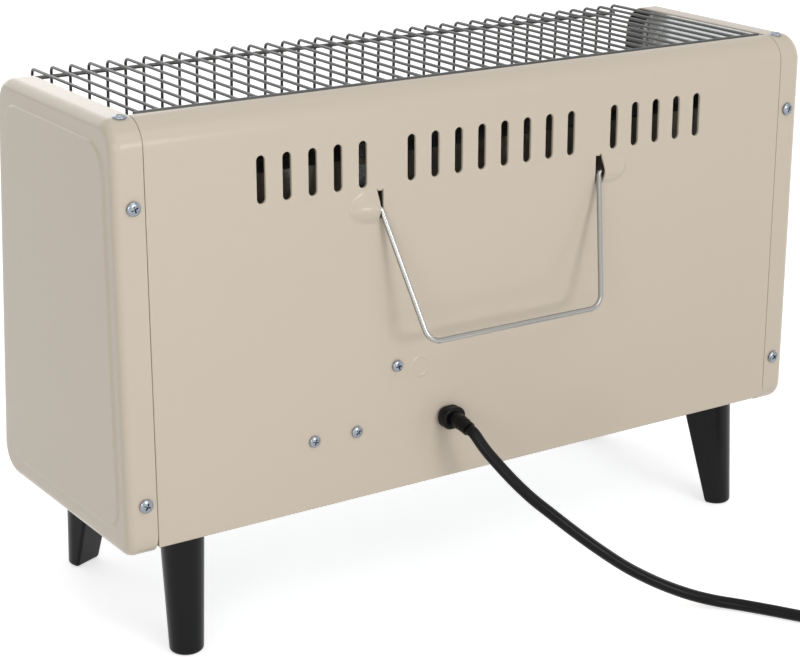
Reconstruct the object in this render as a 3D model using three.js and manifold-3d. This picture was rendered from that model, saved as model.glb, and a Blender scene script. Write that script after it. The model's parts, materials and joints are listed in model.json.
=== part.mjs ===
// A portable infrared heater, drawn from a photograph of its back: a folded steel body between two pressed end
// panels, a wire guard over the open top and front, two quartz tubes before a reflector, four splayed legs, a wire
// bail that folds out of two pockets, a switch knob, and a mains lead that lies coiled beside it.
// Millimetres, +Z up, +X along the width, +Y to the rear. In this file y is 0 on the rear panel's outer face and
// z is 0 on the floor; the finished group is moved along Y until its box is centred on the origin.
import * as THREE from "three";
import { mergeVertices } from "three/addons/utils/BufferGeometryUtils.js";
import Module from "manifold-3d";

const wasm = await Module();
wasm.setup();

// Driving dimensions
const WIDTH = 478;
const HEIGHT = 311;
const TOP_DEPTH = 152.75;
const BOTTOM_DEPTH = 179.05;
const LEG_HEIGHT = 72.1;
const SHEET = 1;
const FIT = 0.3;
const HALF = WIDTH / 2;
const CENTRE_X = 0;

// The end panels hang below the base, lowest at the front.
const SKIRT = { rear: 4.4, front: 8.6 };
const FOOT = { rear: LEG_HEIGHT - SKIRT.rear, front: LEG_HEIGHT - SKIRT.front };
const FOOT_SLOPE = (FOOT.rear - FOOT.front) / BOTTOM_DEPTH;
const FRONT_SLOPE = (BOTTOM_DEPTH - TOP_DEPTH) / (HEIGHT - FOOT.front);
const FRONT_STRETCH = Math.hypot(1, FRONT_SLOPE);
const FRONT_NORMAL = new THREE.Vector3(0, -1, FRONT_SLOPE).normalize();

// End panels
const FLANGE = 18.5;
const SEAM = HALF - FLANGE;
const EDGE_BEND = 6;
const PANEL_CORNERS = [15.5, 17.4, 17.2, 17.9];
const CORNER_STEPS = 4;
const FIELD = { rise: 1, border: 10, rearBorder: 15, corner: 22, shoulder: 3 };

// Rear panel
const REAR_BEND = PANEL_CORNERS[0];
const LIP = { reach: REAR_BEND + SHEET, drop: 8 };
const TAB = { overlap: 12.5, joggle: 2, endGap: 17 };
const BASE_UNDERSIDE = LEG_HEIGHT + FIT;
const SLOT = { width: 5, height: 26.3, top: HEIGHT - 27.5, pitch: 16, steps: 3 };
const SLOT_STEP_SHARES = { middle: [0.5, 1.5, 2.5, 3.5], outer: [5.5, 6.5, 7.5, 8.5, 9.5] };

// Bail and the pockets that hold it. A pocket is an opening whose outer part is covered by a dome; the section of
// the dome's rim is given outwards from the panel and upwards from the bail's axis.
const AXIS_Z = HEIGHT - 66.5;
const POCKET = {
  edge: 74.8,
  rim: 79.1,
  domeStart: 83,
  domeLength: 14.5,
  section: [
    [0, -7.6],
    [1.7, -6.6],
    [2.8, -4.3],
    [4.3, -0.9],
    [4.4, 0.7],
    [3.5, 3.2],
    [1.9, 6.6],
    [0.4, 9.5],
    [0, 10.5],
  ],
  wall: 0.9,
  slit: 0.2,
};
const LUG = { span: [75.3, 78.3], root: 1.5, near: 1.6 };
const BAIL = {
  wire: 1.6,
  axisY: 0.5,
  pinEnd: 91,
  shoulderX: 77,
  barX: 61.1,
  drop: 75.2,
  leanShare: 0.345,
  shoulderBend: 2.8,
  cornerBend: 9.5,
  sides: 8,
};

// Guard
const GUARD = {
  wires: 37,
  inset: 26.8,
  wire: 0.95,
  cross: 1.2,
  rail: 1.5,
  top: HEIGHT - 0.6,
  proud: 8.57,
  footInset: 1.8,
  bend: 3.4,
  foot: 14.5,
  sides: 5,
  crossHeights: [HEIGHT - 6, HEIGHT - 86],
};

// Fascia, knob and switch
const FASCIA = { top: LEG_HEIGHT + 67.4, flange: 10 };
const KNOB = {
  x: HALF - 79,
  z: LEG_HEIGHT + 35.9,
  radius: 20,
  height: 19,
  clear: 0.8,
  edge: 1.2,
  gripCorners: [2.5, 2.5, 2, 2],
  bore: 3.3,
  boreDepth: 13,
};
const SELECTOR = { size: 30, depth: 28, bushing: 5, bushingHigh: 0.4, shaft: 3, shaftLong: 12 };

// Reflector and tubes: heights between the fascia's top and the heater's top are shares of that stretch.
const REFLECTOR = {
  half: SEAM - 9.5,
  sheet: 0.8,
  top: [HEIGHT - 2.5, HEIGHT - 13],
  depths: [26, 46, 46, 54, 46, 46, 60, 90],
  apron: [23.5, 6.5],
};
const REFLECTOR_SHARES = [0.837, 0.714, 0.545, 0.455, 0.364, 0.195, 0.102, 0.05];
const TUBE = { y: -95, outer: 5.5, inner: 4.5, half: REFLECTOR.half - 13.3 };
const TUBE_SHARES = [0.63, 0.28];
const ELEMENT = { rod: 2.5, rodHalf: REFLECTOR.half - 20, tail: 1.2, half: REFLECTOR.half + 6 };
const CAP = {
  start: REFLECTOR.half - 25,
  seat: REFLECTOR.half - 13,
  end: REFLECTOR.half,
  radius: 8.5,
  collar: 10,
  collarThick: 5,
};
const HOLDER = { x: REFLECTOR.half - 5.2, sheet: 1, frontInset: 14, rearY: -31, lift: 1 };
const HOLDER_SHARES = { front: 0.714, rear: 0.831 };

// Fixings
const SCREW = { head: 4, headHigh: 2.2, shank: 1.9, long: 8 };
const SMALL_SCREW = { head: 3.5, headHigh: 2, shank: 1.5, long: 8 };
const HOLE_REACH = 6;
const PANEL_SCREWS = { x: HALF - 11.6, heights: [HEIGHT - 45.7, LEG_HEIGHT + 27.2] };
const TOP_SCREWS = { x: HALF - 12.3, y: -13.5 };
const DIMPLE = { top: 5.3, floor: 4.4, deep: 1.2 };
const FRONT_SCREW_Z = LEG_HEIGHT + 35.9;
const TIP_SWITCH = {
  x: [86, 130],
  y: [-24, -1.3],
  z: [LEG_HEIGHT + 30.9, LEG_HEIGHT + 54.9],
  screws: [93.7, 121.7],
  screwZ: LEG_HEIGHT + 41.9,
};
const EARTH = { x: 66.1, z: LEG_HEIGHT + 76.8, nut: 4, nutHigh: 3.2 };
const EARTH_MARK = { x: 50, z: LEG_HEIGHT + 73.3, outer: 6.5, inner: 4.9, high: 0.5 };
const TERMINALS = { x: [40, 74], y: [-60, -38], high: 17, wells: 3, well: 2.6, wellDeep: 7, entry: 10 };
const CUTOUT = { x: 60, disc: 9, discLong: 6, body: 6, bodyLong: 5 };

// Legs
const LEG = {
  insets: { right: 39.5, left: 43.5 },
  rearY: -13.4,
  frontY: 26.05 - BOTTOM_DEPTH,
  outShare: 0.395,
  footRadius: 9.8,
  footInside: 3.3,
  topRadius: 12.6,
  topInside: 16,
  shift: 6.5,
  round: 1.5,
  fillet: 2,
  leastFillet: 0.5,
  steps: 8,
  screw: 2.2,
  screwDeep: 16,
  wellRoom: 2,
  screwHead: 4.6,
};

// Mains lead, with its bushing and the sleeve's steps out of it
const GLAND = {
  x: 30.9,
  z: LEG_HEIGHT + 39.3,
  hole: 5.6,
  neck: 5.3,
  innerFlange: 7,
  flangeThick: 3,
  wide: 15.3,
  high: 13,
  face: 8.4,
  edge: 1.2,
};
const LEAD = { radius: 3.5, length: 1500, sides: 10, steps: 34 };
const SLEEVE_STEPS = [
  [0, 7.4, 0],
  [0, 13, -0.2],
  [-0.2, 18, -1.1],
  [-0.6, 22, -2.3],
];
const SLEEVE_RADII = [4.9, 4.7, 4.4, 4.2];
const COIL = {
  from: [-152, 206],
  start: 33,
  radius: 36.9,
  turns: 5.04,
  pitch: 7.6,
  loopSteps: 24,
  sides: 6,
  lift: 1.2,
};
const PLUG = {
  radius: 18,
  flat: 14.5,
  long: 34,
  sleeve: 22,
  mouth: 1,
  neck: 2.5,
  neckBack: 4,
  shoulder: 9,
  pin: 2.4,
  pinLong: 19,
  pinRoot: 2,
  pinGap: 9.5,
};
const TIE = { thick: 0.8, wide: 6, slack: 0.4, corner: 2.4 };
const TIE_SHARE = 0.35;

const FINISHES = {
  enamel: 0xcfc4b1,
  zinc: 0x9a9a98,
  mirror: 0xc8c8c8,
  black: 0x202020,
  quartz: 0xe8e6e0,
  ceramic: 0xe6dfd0,
  brown: 0x5a4030,
};

const frontAt = (z) => -TOP_DEPTH - (HEIGHT - z) * FRONT_SLOPE;
const openAt = (share) => FASCIA.top + (HEIGHT - FASCIA.top) * share;
const tubeHeights = TUBE_SHARES.map(openAt);
const vector = (x, y, z) => new THREE.Vector3(x, y, z);
const radians = THREE.MathUtils.degToRad;

// Solids

// A manifold-3d solid of points and triangles, turned to face outwards.
function closed(positions, faces) {
  const build = (triangles) =>
    new wasm.Manifold(
      new wasm.Mesh({
        numProp: 3,
        vertProperties: new Float32Array(positions),
        triVerts: new Uint32Array(triangles),
      }),
    );
  const made = build(faces);
  return made.volume() < 0 ? build([...faces].reverse()) : made;
}

// A solid of any closed three.js geometry.
function solid(geometry) {
  const loose = geometry.index ? geometry.toNonIndexed() : geometry;
  const bare = new THREE.BufferGeometry().setAttribute("position", loose.getAttribute("position"));
  const merged = mergeVertices(bare, 1e-3);
  const index = merged.index.array;
  const faces = [];
  for (let i = 0; i < index.length; i += 3) {
    const [a, b, c] = index.slice(i, i + 3);
    if (a !== b && b !== c && c !== a) faces.push(a, b, c);
  }
  return closed(merged.getAttribute("position").array, faces);
}

// A solid through rings of equally many points, closed by a fan over its first and last ring.
function loft(rings) {
  const count = rings[0].length;
  const positions = rings.flat().flatMap((p) => p.toArray());
  const faces = [];
  for (let ring = 0; ring < rings.length - 1; ring++)
    for (let i = 0; i < count; i++) {
      const a = ring * count + i;
      const b = ring * count + ((i + 1) % count);
      faces.push(a, b, b + count, a, b + count, a + count);
    }
  const last = (rings.length - 1) * count;
  [rings[0], rings.at(-1)].forEach((ring) => {
    const middle = ring.reduce((sum, p) => sum.add(p), vector(0, 0, 0)).divideScalar(count);
    positions.push(...middle.toArray());
  });
  for (let i = 0; i < count; i++) {
    const next = (i + 1) % count;
    faces.push(rings.length * count, next, i);
    faces.push(rings.length * count + 1, last + i, last + next);
  }
  return closed(positions, faces);
}

// Extruded outlines: a list of points in two of the axes, drawn out along the third.
function extruded(outline, from, to, basis) {
  const shape = new THREE.Shape(outline.map(([u, v]) => new THREE.Vector2(u, v)));
  const geometry = new THREE.ExtrudeGeometry(shape, { depth: to - from, bevelEnabled: false });
  return solid(geometry.translate(0, 0, from).applyMatrix4(basis));
}
const X = vector(1, 0, 0);
const Y = vector(0, 1, 0);
const Z = vector(0, 0, 1);
const alongX = (outline, from, to) => extruded(outline, from, to, new THREE.Matrix4().makeBasis(Y, Z, X));
const alongY = (outline, from, to) =>
  extruded(outline, -to, -from, new THREE.Matrix4().makeBasis(X, Z, vector(0, -1, 0)));
const alongZ = (outline, from, to) => extruded(outline, from, to, new THREE.Matrix4());

function box([x0, x1], [y0, y1], [z0, z1]) {
  const geometry = new THREE.BoxGeometry(x1 - x0, y1 - y0, z1 - z0);
  return solid(geometry.translate((x0 + x1) / 2, (y0 + y1) / 2, (z0 + z1) / 2));
}

// Moves a solid drawn along +Z so that it stands at a point along a direction.
function stand(made, at, direction) {
  const turn = new THREE.Quaternion().setFromUnitVectors(Z, direction.clone().normalize());
  const matrix = new THREE.Matrix4().compose(at, turn, vector(1, 1, 1));
  return made.transform([...matrix.elements]);
}

// A turned solid: pairs of radius and height about +Z, closed along the axis if it starts and ends there.
function turned(profile, sides) {
  const points = profile.map(([r, h]) => new THREE.Vector2(r, h));
  return solid(new THREE.LatheGeometry(points, sides).rotateX(Math.PI / 2));
}

const disc = (radius, from, to, sides) => turned([[0, from], [radius, from], [radius, to], [0, to]], sides);

// A straight round rod between two points.
function rod(from, to, radius, sides) {
  const along = to.clone().sub(from);
  return stand(disc(radius, 0, along.length(), sides), from, along);
}

// Rounds the corners of a flat outline; a radius of 0 keeps the corner.
function rounded(corners, radii, steps) {
  return corners.flatMap((corner, i) => {
    if (!radii[i]) return [corner];
    const at = new THREE.Vector2(...corner);
    const before = new THREE.Vector2(...corners.at(i - 1)).sub(at).normalize();
    const after = new THREE.Vector2(...corners[(i + 1) % corners.length]).sub(at).normalize();
    const half = Math.acos(before.dot(after)) / 2;
    const middle = before.clone().add(after).setLength(radii[i] / Math.sin(half)).add(at);
    const start = before.multiplyScalar(radii[i] / Math.tan(half)).add(at).sub(middle);
    const side = Math.sign(start.x * (at.y - middle.y) - start.y * (at.x - middle.x));
    const sweep = side * (Math.PI - 2 * half);
    return Array.from({ length: steps + 1 }, (_, k) => {
      const spun = start.clone().rotateAround(new THREE.Vector2(), (sweep * k) / steps);
      return spun.add(middle).toArray();
    });
  });
}

// The centre line of a bent wire: its corner points with each inner corner rounded.
function bent(corners, bend, steps) {
  return corners.flatMap((corner, i) => {
    if (i === 0 || i === corners.length - 1) return [corner];
    const before = corners[i - 1].clone().sub(corner).normalize();
    const after = corners[i + 1].clone().sub(corner).normalize();
    const half = before.angleTo(after) / 2;
    const middle = before.clone().add(after).setLength(bend / Math.sin(half)).add(corner);
    const start = before.clone().multiplyScalar(bend / Math.tan(half)).add(corner).sub(middle);
    const end = after.clone().multiplyScalar(bend / Math.tan(half)).add(corner).sub(middle);
    const axis = start.clone().cross(end).normalize();
    return Array.from({ length: steps + 1 }, (_, k) =>
      start.clone().applyAxisAngle(axis, ((Math.PI - 2 * half) * k) / steps).add(middle),
    );
  });
}

// A round bar along a line of points, with one radius or one for each point.
function bar(points, radius, sides) {
  const radii = Array.isArray(radius) ? radius : points.map(() => radius);
  const tangents = points.map((_, i) =>
    points[Math.min(i + 1, points.length - 1)].clone().sub(points[Math.max(i - 1, 0)]).normalize(),
  );
  const away = Math.abs(tangents[0].z) < Math.SQRT1_2 ? Z : X;
  const normal = away.clone().cross(tangents[0]).normalize();
  return loft(
    points.map((point, i) => {
      if (i) normal.applyQuaternion(new THREE.Quaternion().setFromUnitVectors(tangents[i - 1], tangents[i]));
      const across = tangents[i].clone().cross(normal);
      return Array.from({ length: sides }, (_, k) => {
        const angle = (2 * Math.PI * (k + 0.5)) / sides;
        const offset = normal.clone().multiplyScalar(Math.cos(angle)).addScaledVector(across, Math.sin(angle));
        return point.clone().addScaledVector(offset, radii[i]);
      });
    }),
  );
}

// A slot outline with round ends, upright about a centre.
function slotOutline(x, z, width, height, steps) {
  const half = width / 2;
  const reach = height / 2;
  const corners = [[x - half, z - reach], [x + half, z - reach], [x + half, z + reach], [x - half, z + reach]];
  return rounded(corners, corners.map(() => half * 0.999), steps);
}

const join = (...parts) => wasm.Manifold.union(parts);
const cut = (from, ...parts) => (parts.length ? from.subtract(wasm.Manifold.union(parts)) : from);

// The group

const heater = new THREE.Group();

function add(name, made, finish) {
  const mesh = made.getMesh();
  const count = mesh.vertProperties.length / mesh.numProp;
  const positions = new Float32Array(count * 3);
  for (let i = 0; i < count; i++)
    positions.set(mesh.vertProperties.subarray(i * mesh.numProp, i * mesh.numProp + 3), i * 3);
  const geometry = new THREE.BufferGeometry()
    .setAttribute("position", new THREE.BufferAttribute(positions, 3))
    .setIndex(new THREE.BufferAttribute(mesh.triVerts, 1));
  geometry.computeVertexNormals();
  const node = new THREE.Mesh(geometry, new THREE.MeshStandardMaterial({ color: FINISHES[finish] }));
  node.name = name;
  heater.add(node);
  return made;
}

const SIDES = [
  { side: 1, word: "right" },
  { side: -1, word: "left" },
];
const between = (side, a, b) => [side * a, side * b].sort((p, q) => p - q);

// Screws: a pan head with a cross recess, standing on a face and pointing back along a direction.
function screw(size, at, out) {
  const { head, headHigh, shank, long } = size;
  const profile = [
    [0, -long],
    [shank, -long],
    [shank, 0],
    [head, 0],
    [head, headHigh * 0.4],
    [head * 0.72, headHigh * 0.88],
    [0, headHigh],
  ];
  const arm = head * 0.5;
  const slot = head * 0.11;
  const floor = headHigh * 0.4;
  const recess = join(
    box([-arm, arm], [-slot, slot], [floor, headHigh * 2]),
    box([-slot, slot], [-arm, arm], [floor, headHigh * 2]),
  );
  const seat = at.clone().addScaledVector(out, FIT);
  return stand(cut(turned(profile, 10), recess), seat, out);
}

const hole = (at, out, radius) =>
  rod(at.clone().addScaledVector(out, -HOLE_REACH), at.clone().addScaledVector(out, HOLE_REACH), radius, 12);

// Places that several parts share
const panelScrewSpots = SIDES.flatMap(({ side, word }) =>
  PANEL_SCREWS.heights.map((z, i) => ({
    name: `panel_screw_${word}_${i ? "lower" : "upper"}`,
    at: vector(side * PANEL_SCREWS.x, 0, z),
    out: Y,
  })),
);
const topScrewSpots = SIDES.map(({ side, word }) => ({
  name: `top_screw_${word}`,
  at: vector(side * TOP_SCREWS.x, TOP_SCREWS.y, HEIGHT - DIMPLE.deep),
  out: Z,
}));
const frontScrewSpots = SIDES.map(({ side, word }) => ({
  name: `front_screw_${word}`,
  at: vector(side * PANEL_SCREWS.x, frontAt(FRONT_SCREW_Z), FRONT_SCREW_Z),
  out: FRONT_NORMAL,
}));
const tipScrewSpots = TIP_SWITCH.screws.map((x, i) => ({
  name: `tip_switch_screw_${i + 1}`,
  at: vector(x, 0, TIP_SWITCH.screwZ),
  out: Y,
}));
const earthSpot = { name: "earth_screw", at: vector(EARTH.x, 0, EARTH.z), out: Y };
const knobAt = vector(KNOB.x, frontAt(KNOB.z), KNOB.z);
const legSpots = SIDES.flatMap(({ side, word }) =>
  [
    { end: "rear", y: LEG.rearY, way: 1 },
    { end: "front", y: LEG.frontY, way: -1 },
  ].map(({ end, y, way }) => {
    const out = vector(side * LEG.outShare, way * Math.sqrt(1 - LEG.outShare ** 2), 0);
    const foot = vector(side * (HALF - LEG.insets[word]), y, 0);
    return { name: `${end}_${word}`, out, foot, top: foot.clone().addScaledVector(out, -LEG.shift) };
  }),
);

// End panels

// The heater's side outline, set in by a distance on each of its edges.
function sideOutline(rear, rest, radii) {
  const front = (z) => frontAt(z) + rest * FRONT_STRETCH;
  const foot = (y) => FOOT.rear + y * FOOT_SLOPE + rest * Math.hypot(1, FOOT_SLOPE);
  const high = HEIGHT - rest;
  const toe = (front(0) + foot(0) * FRONT_SLOPE) / (1 - FRONT_SLOPE * FOOT_SLOPE);
  const corners = [[-rear, high], [front(high), high], [toe, foot(toe)], [-rear, foot(-rear)]];
  return rounded(corners, radii, CORNER_STEPS);
}

// The pressed seat of a top screw: the cup of sheet below it, and the room above it.
function screwDimple(side) {
  const { at, out } = topScrewSpots.find((spot) => spot.at.x * side > 0);
  const { top, floor, deep } = DIMPLE;
  const wall = SHEET / 2;
  const cup = turned([[0, -SHEET], [floor + wall, -SHEET], [top + wall, deep - wall], [0, deep - wall]], 16);
  const room = turned([[0, 0], [floor, 0], [top, deep], [top, deep * 2], [0, deep * 2]], 16);
  const flange = between(side, SEAM, HALF - FIELD.rise - EDGE_BEND);
  const envelope = alongX(sideOutline(0, 0, PANEL_CORNERS), ...flange);
  return { cup: stand(cup, at, out).intersect(envelope), room: stand(room, at, out) };
}

function endPanel(side) {
  const ring = (x, rear, rest, radii) =>
    sideOutline(rear, rest, radii).map(([y, z]) => vector(side * x, y, z));
  const even = (x, inset) => ring(x, inset, inset, PANEL_CORNERS.map((r) => Math.max(r - inset, 1)));
  const web = HALF - FIELD.rise;
  const field = (x, extra) =>
    ring(x, FIELD.rearBorder + extra, FIELD.border + extra, PANEL_CORNERS.map(() => FIELD.corner - extra));
  const bendRings = (radius, outward, steps) =>
    Array.from({ length: steps + 1 }, (_, k) => {
      const angle = (Math.PI / 2) * (k / steps);
      return even(web - EDGE_BEND + radius * Math.cos(angle), EDGE_BEND - radius * Math.sin(angle) + outward);
    });
  const outside = [
    field(HALF, FIELD.shoulder),
    field(web, 0),
    ...bendRings(EDGE_BEND, 0, 4),
    even(SEAM, 0),
  ];
  const inside = [
    even(SEAM, SHEET),
    ...bendRings(EDGE_BEND - SHEET, 0, 3).reverse(),
    field(web - SHEET, 0),
    field(HALF - SHEET, FIELD.shoulder),
  ];
  const holes = [...panelScrewSpots, ...topScrewSpots, ...frontScrewSpots]
    .filter(({ at }) => at.x * side > 0)
    .map(({ at, out }) => hole(at, out, SCREW.shank + FIT));
  const { cup, room } = screwDimple(side);
  return cut(join(loft([...outside, ...inside]), cup), room, ...holes);
}

for (const { side, word } of SIDES) add(`end_panel_${word}`, endPanel(side), "enamel");

// Rear panel

// The section of a pocket's dome at its rim, or of the cavity in it, with its back at a depth below the panel.
function pocketSection(wall, depth) {
  const { section } = POCKET;
  const proud = Math.max(...section.map(([y]) => y));
  const [low, high] = [section[0][1], section.at(-1)[1]];
  const middle = (low + high) / 2;
  const shrink = 1 - wall / (high - middle);
  const skin = section.map(([y, z]) => [y * (1 - wall / proud), middle + (z - middle) * shrink]);
  return [[-depth, skin[0][1]], ...skin, [-depth, skin.at(-1)[1]]];
}

// A pocket's dome, straight from its rim and then rounded off until it dies into the panel.
function pocketDome(side, wall, depth, from) {
  const section = pocketSection(wall, depth);
  const ring = (x, scale) =>
    section.map(([y, z]) => vector(side * x, y < 0 ? y : y * scale, AXIS_Z + z * scale));
  const end = [0, 25, 50, 70, 82].map((degrees) => {
    const angle = radians(degrees);
    return ring(POCKET.domeStart + (POCKET.domeLength - wall) * Math.sin(angle), Math.cos(angle));
  });
  return loft([ring(from, 1), ...end]);
}

// The lugs on a pocket's lower and upper edge, on which the bail's leg comes to rest at either end of its swing.
function pocketLugs(side) {
  const { axisY, leanShare, wire } = BAIL;
  const reach = (far) => axisY + far * leanShare - wire * Math.hypot(1, leanShare) - FIT;
  return [
    { way: -1, edge: POCKET.section[0][1] },
    { way: 1, edge: POCKET.section.at(-1)[1] },
  ].map(({ way, edge }) => {
    const near = edge - way * LUG.near;
    const outline = [
      [-SHEET / 2, AXIS_Z + edge + way * LUG.root],
      [0, AXIS_Z + edge + way * LUG.root],
      [reach(Math.abs(near)), AXIS_Z + edge],
      [reach(Math.abs(near)), AXIS_Z + near],
      [-SHEET / 2, AXIS_Z + near],
    ];
    return alongX(way < 0 ? outline : outline.reverse(), ...between(side, ...LUG.span));
  });
}

function rearPanel() {
  const arc = (radius) =>
    Array.from({ length: CORNER_STEPS + 1 }, (_, k) => {
      const angle = (Math.PI / 2) * (k / CORNER_STEPS);
      return [-REAR_BEND + radius * Math.cos(angle), HEIGHT - REAR_BEND + radius * Math.sin(angle)];
    });
  const lip = [[-LIP.reach, HEIGHT], [-LIP.reach, HEIGHT - LIP.drop]];
  const outside = [[0, BASE_UNDERSIDE], ...arc(REAR_BEND), ...lip];
  const inside = [
    [-SHEET, BASE_UNDERSIDE],
    ...arc(REAR_BEND - SHEET),
    [SHEET - LIP.reach, HEIGHT - LIP.drop],
  ];
  const edge = SEAM - FIT;
  const sheet = alongX([...outside, ...inside.reverse()], -edge, edge);
  const tabHeights = [BASE_UNDERSIDE + TAB.endGap, HEIGHT - TAB.endGap];
  const back = -SHEET - FIT;
  const tabs = SIDES.flatMap(({ side }) => {
    const reachX = between(side, edge - TAB.joggle, SEAM + TAB.overlap);
    const stepX = between(side, edge - TAB.joggle, edge);
    return [box(reachX, [back - SHEET, back], tabHeights), box(stepX, [back, -SHEET / 2], tabHeights)];
  });
  const domes = SIDES.map(({ side }) => pocketDome(side, 0, SHEET / 2, POCKET.rim));
  const lugs = SIDES.flatMap(({ side }) => pocketLugs(side));
  const mark = alongY(circle(EARTH_MARK, EARTH_MARK.outer, 16), -SHEET / 2, EARTH_MARK.high);
  const dent = alongY(circle(EARTH_MARK, EARTH_MARK.inner, 16), 0, EARTH_MARK.high * 2);
  const slots = [...SLOT_STEP_SHARES.middle, ...SLOT_STEP_SHARES.outer].flatMap((step) =>
    SIDES.map(({ side }) => {
      const middle = SLOT.top - SLOT.height / 2;
      const outline = slotOutline(side * step * SLOT.pitch, middle, SLOT.width, SLOT.height, SLOT.steps);
      return alongY(outline, -SHEET * 2, SHEET);
    }),
  );
  const openHeights = [AXIS_Z + POCKET.section[0][1], AXIS_Z + POCKET.section.at(-1)[1]];
  const openings = SIDES.flatMap(({ side }) => [
    box(between(side, POCKET.edge, POCKET.rim), [-SHEET * 2, SHEET], openHeights),
    pocketDome(side, POCKET.wall, SHEET * 2, POCKET.rim - POCKET.slit),
  ]);
  const screwHoles = [
    ...panelScrewSpots.map(({ at, out }) => hole(at, out, SCREW.shank + FIT)),
    ...tipScrewSpots.map(({ at, out }) => hole(at, out, SMALL_SCREW.shank + FIT)),
    hole(earthSpot.at, Y, SMALL_SCREW.shank + FIT),
    hole(vector(GLAND.x, 0, GLAND.z), Y, GLAND.hole),
  ];
  const pressed = cut(join(sheet, ...tabs, ...domes, mark), dent, ...slots, ...openings, ...screwHoles);
  return join(pressed, ...lugs);
}

function circle({ x, z }, radius, sides) {
  return Array.from({ length: sides }, (_, k) => {
    const angle = (2 * Math.PI * k) / sides;
    return [x + radius * Math.cos(angle), z + radius * Math.sin(angle)];
  });
}

add("rear_panel", rearPanel(), "enamel");

// Base pan
const VENT = { width: 5, long: 44, pitch: 60, columns: [-2, -1, 0, 1, 2], rowShares: [-0.62, -0.42] };

function basePan() {
  const top = BASE_UNDERSIDE + SHEET;
  const rear = -SHEET - FIT;
  const front = frontAt(BASE_UNDERSIDE) + SHEET + FIT;
  const flange = 12;
  const flangeHalf = SEAM - TAB.joggle - SHEET * 5;
  const wingInset = 14;
  const plate = box([-SEAM + SHEET, SEAM - SHEET], [front, rear], [BASE_UNDERSIDE, top]);
  const wings = box(
    [-HALF + EDGE_BEND, HALF - EDGE_BEND],
    [front + wingInset, rear - wingInset],
    [BASE_UNDERSIDE, top],
  );
  const rearFlange = box([-flangeHalf, flangeHalf], [rear - SHEET, rear], [BASE_UNDERSIDE, top + flange]);
  const lift = flange * FRONT_SLOPE;
  const frontFlange = alongX(
    [[front, BASE_UNDERSIDE], [front + SHEET, BASE_UNDERSIDE], [front + SHEET + lift, top + flange],
      [front + lift, top + flange]],
    -flangeHalf,
    flangeHalf,
  );
  const bolts = legSpots.map(({ top: at }) => hole(vector(at.x, at.y, top), Z, LEG.screw + FIT));
  const vents = VENT.columns.flatMap((column) =>
    VENT.rowShares.map((share) => {
      const place = ([u, v]) => [column * VENT.pitch + v, share * BOTTOM_DEPTH + u];
      const outline = slotOutline(0, 0, VENT.width, VENT.long, 2).map(place);
      return alongZ(outline.reverse(), BASE_UNDERSIDE - SHEET, top + SHEET);
    }),
  );
  const [blockX, blockY] = [TERMINALS.x, TERMINALS.y].map(([from, to]) => (from + to) / 2);
  const blockHole = hole(vector(blockX, blockY, top), Z, SMALL_SCREW.shank);
  return cut(join(plate, wings, rearFlange, frontFlange), ...bolts, ...vents, blockHole);
}

add("base_pan", basePan(), "zinc");

// Front fascia
function frontFascia() {
  const skin = (z, depth) => [frontAt(z) + depth * FRONT_STRETCH, z];
  const top = FASCIA.top;
  const sheet = alongX(
    [
      skin(BASE_UNDERSIDE, 0),
      skin(top, 0),
      [frontAt(top) + FASCIA.flange, top],
      [frontAt(top) + FASCIA.flange, top - SHEET],
      skin(top - SHEET, SHEET),
      skin(BASE_UNDERSIDE, SHEET),
    ],
    -SEAM + FIT,
    SEAM - FIT,
  );
  const low = BASE_UNDERSIDE + TAB.endGap;
  const high = top - SHEET * 4;
  const edge = SEAM - FIT;
  const strip = (from, to) => [skin(low, from), skin(high, from), skin(high, to), skin(low, to)];
  const tabs = SIDES.flatMap(({ side }) => [
    alongX(strip(SHEET + FIT, SHEET * 2 + FIT), ...between(side, edge - TAB.joggle, SEAM + TAB.overlap)),
    alongX(strip(SHEET / 2, SHEET + FIT * 2), ...between(side, edge - TAB.joggle, edge)),
  ]);
  const holes = [
    ...frontScrewSpots.map(({ at, out }) => hole(at, out, SCREW.shank + FIT)),
    hole(knobAt, FRONT_NORMAL, SELECTOR.bushing + FIT),
  ];
  return cut(join(sheet, ...tabs), ...holes);
}

add("front_fascia", frontFascia(), "enamel");

// Reflector's section, from its rear top to the apron on the fascia's flange
const reflectorRear = -LIP.reach - FIT - REFLECTOR.sheet;
const apronZ = FASCIA.top + FIT + REFLECTOR.sheet;
const reflectorLine = [
  ...REFLECTOR.top.map((z) => [reflectorRear, z]),
  ...REFLECTOR.depths.map((depth, i) => [-depth, openAt(REFLECTOR_SHARES[i])]),
  [frontAt(FASCIA.top) + REFLECTOR.apron[0], apronZ],
  [frontAt(FASCIA.top) + REFLECTOR.apron[1], apronZ],
];

// Guard: its front line leans out towards its foot, which stands on the reflector's apron.
const guardFootZ = apronZ + FIT + GUARD.wire;
const guardFrontAt = (z) => {
  const [topY, footY] = [-TOP_DEPTH - GUARD.proud, frontAt(guardFootZ) + GUARD.footInset];
  return THREE.MathUtils.mapLinear(z, GUARD.top, guardFootZ, topY, footY);
};

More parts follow.
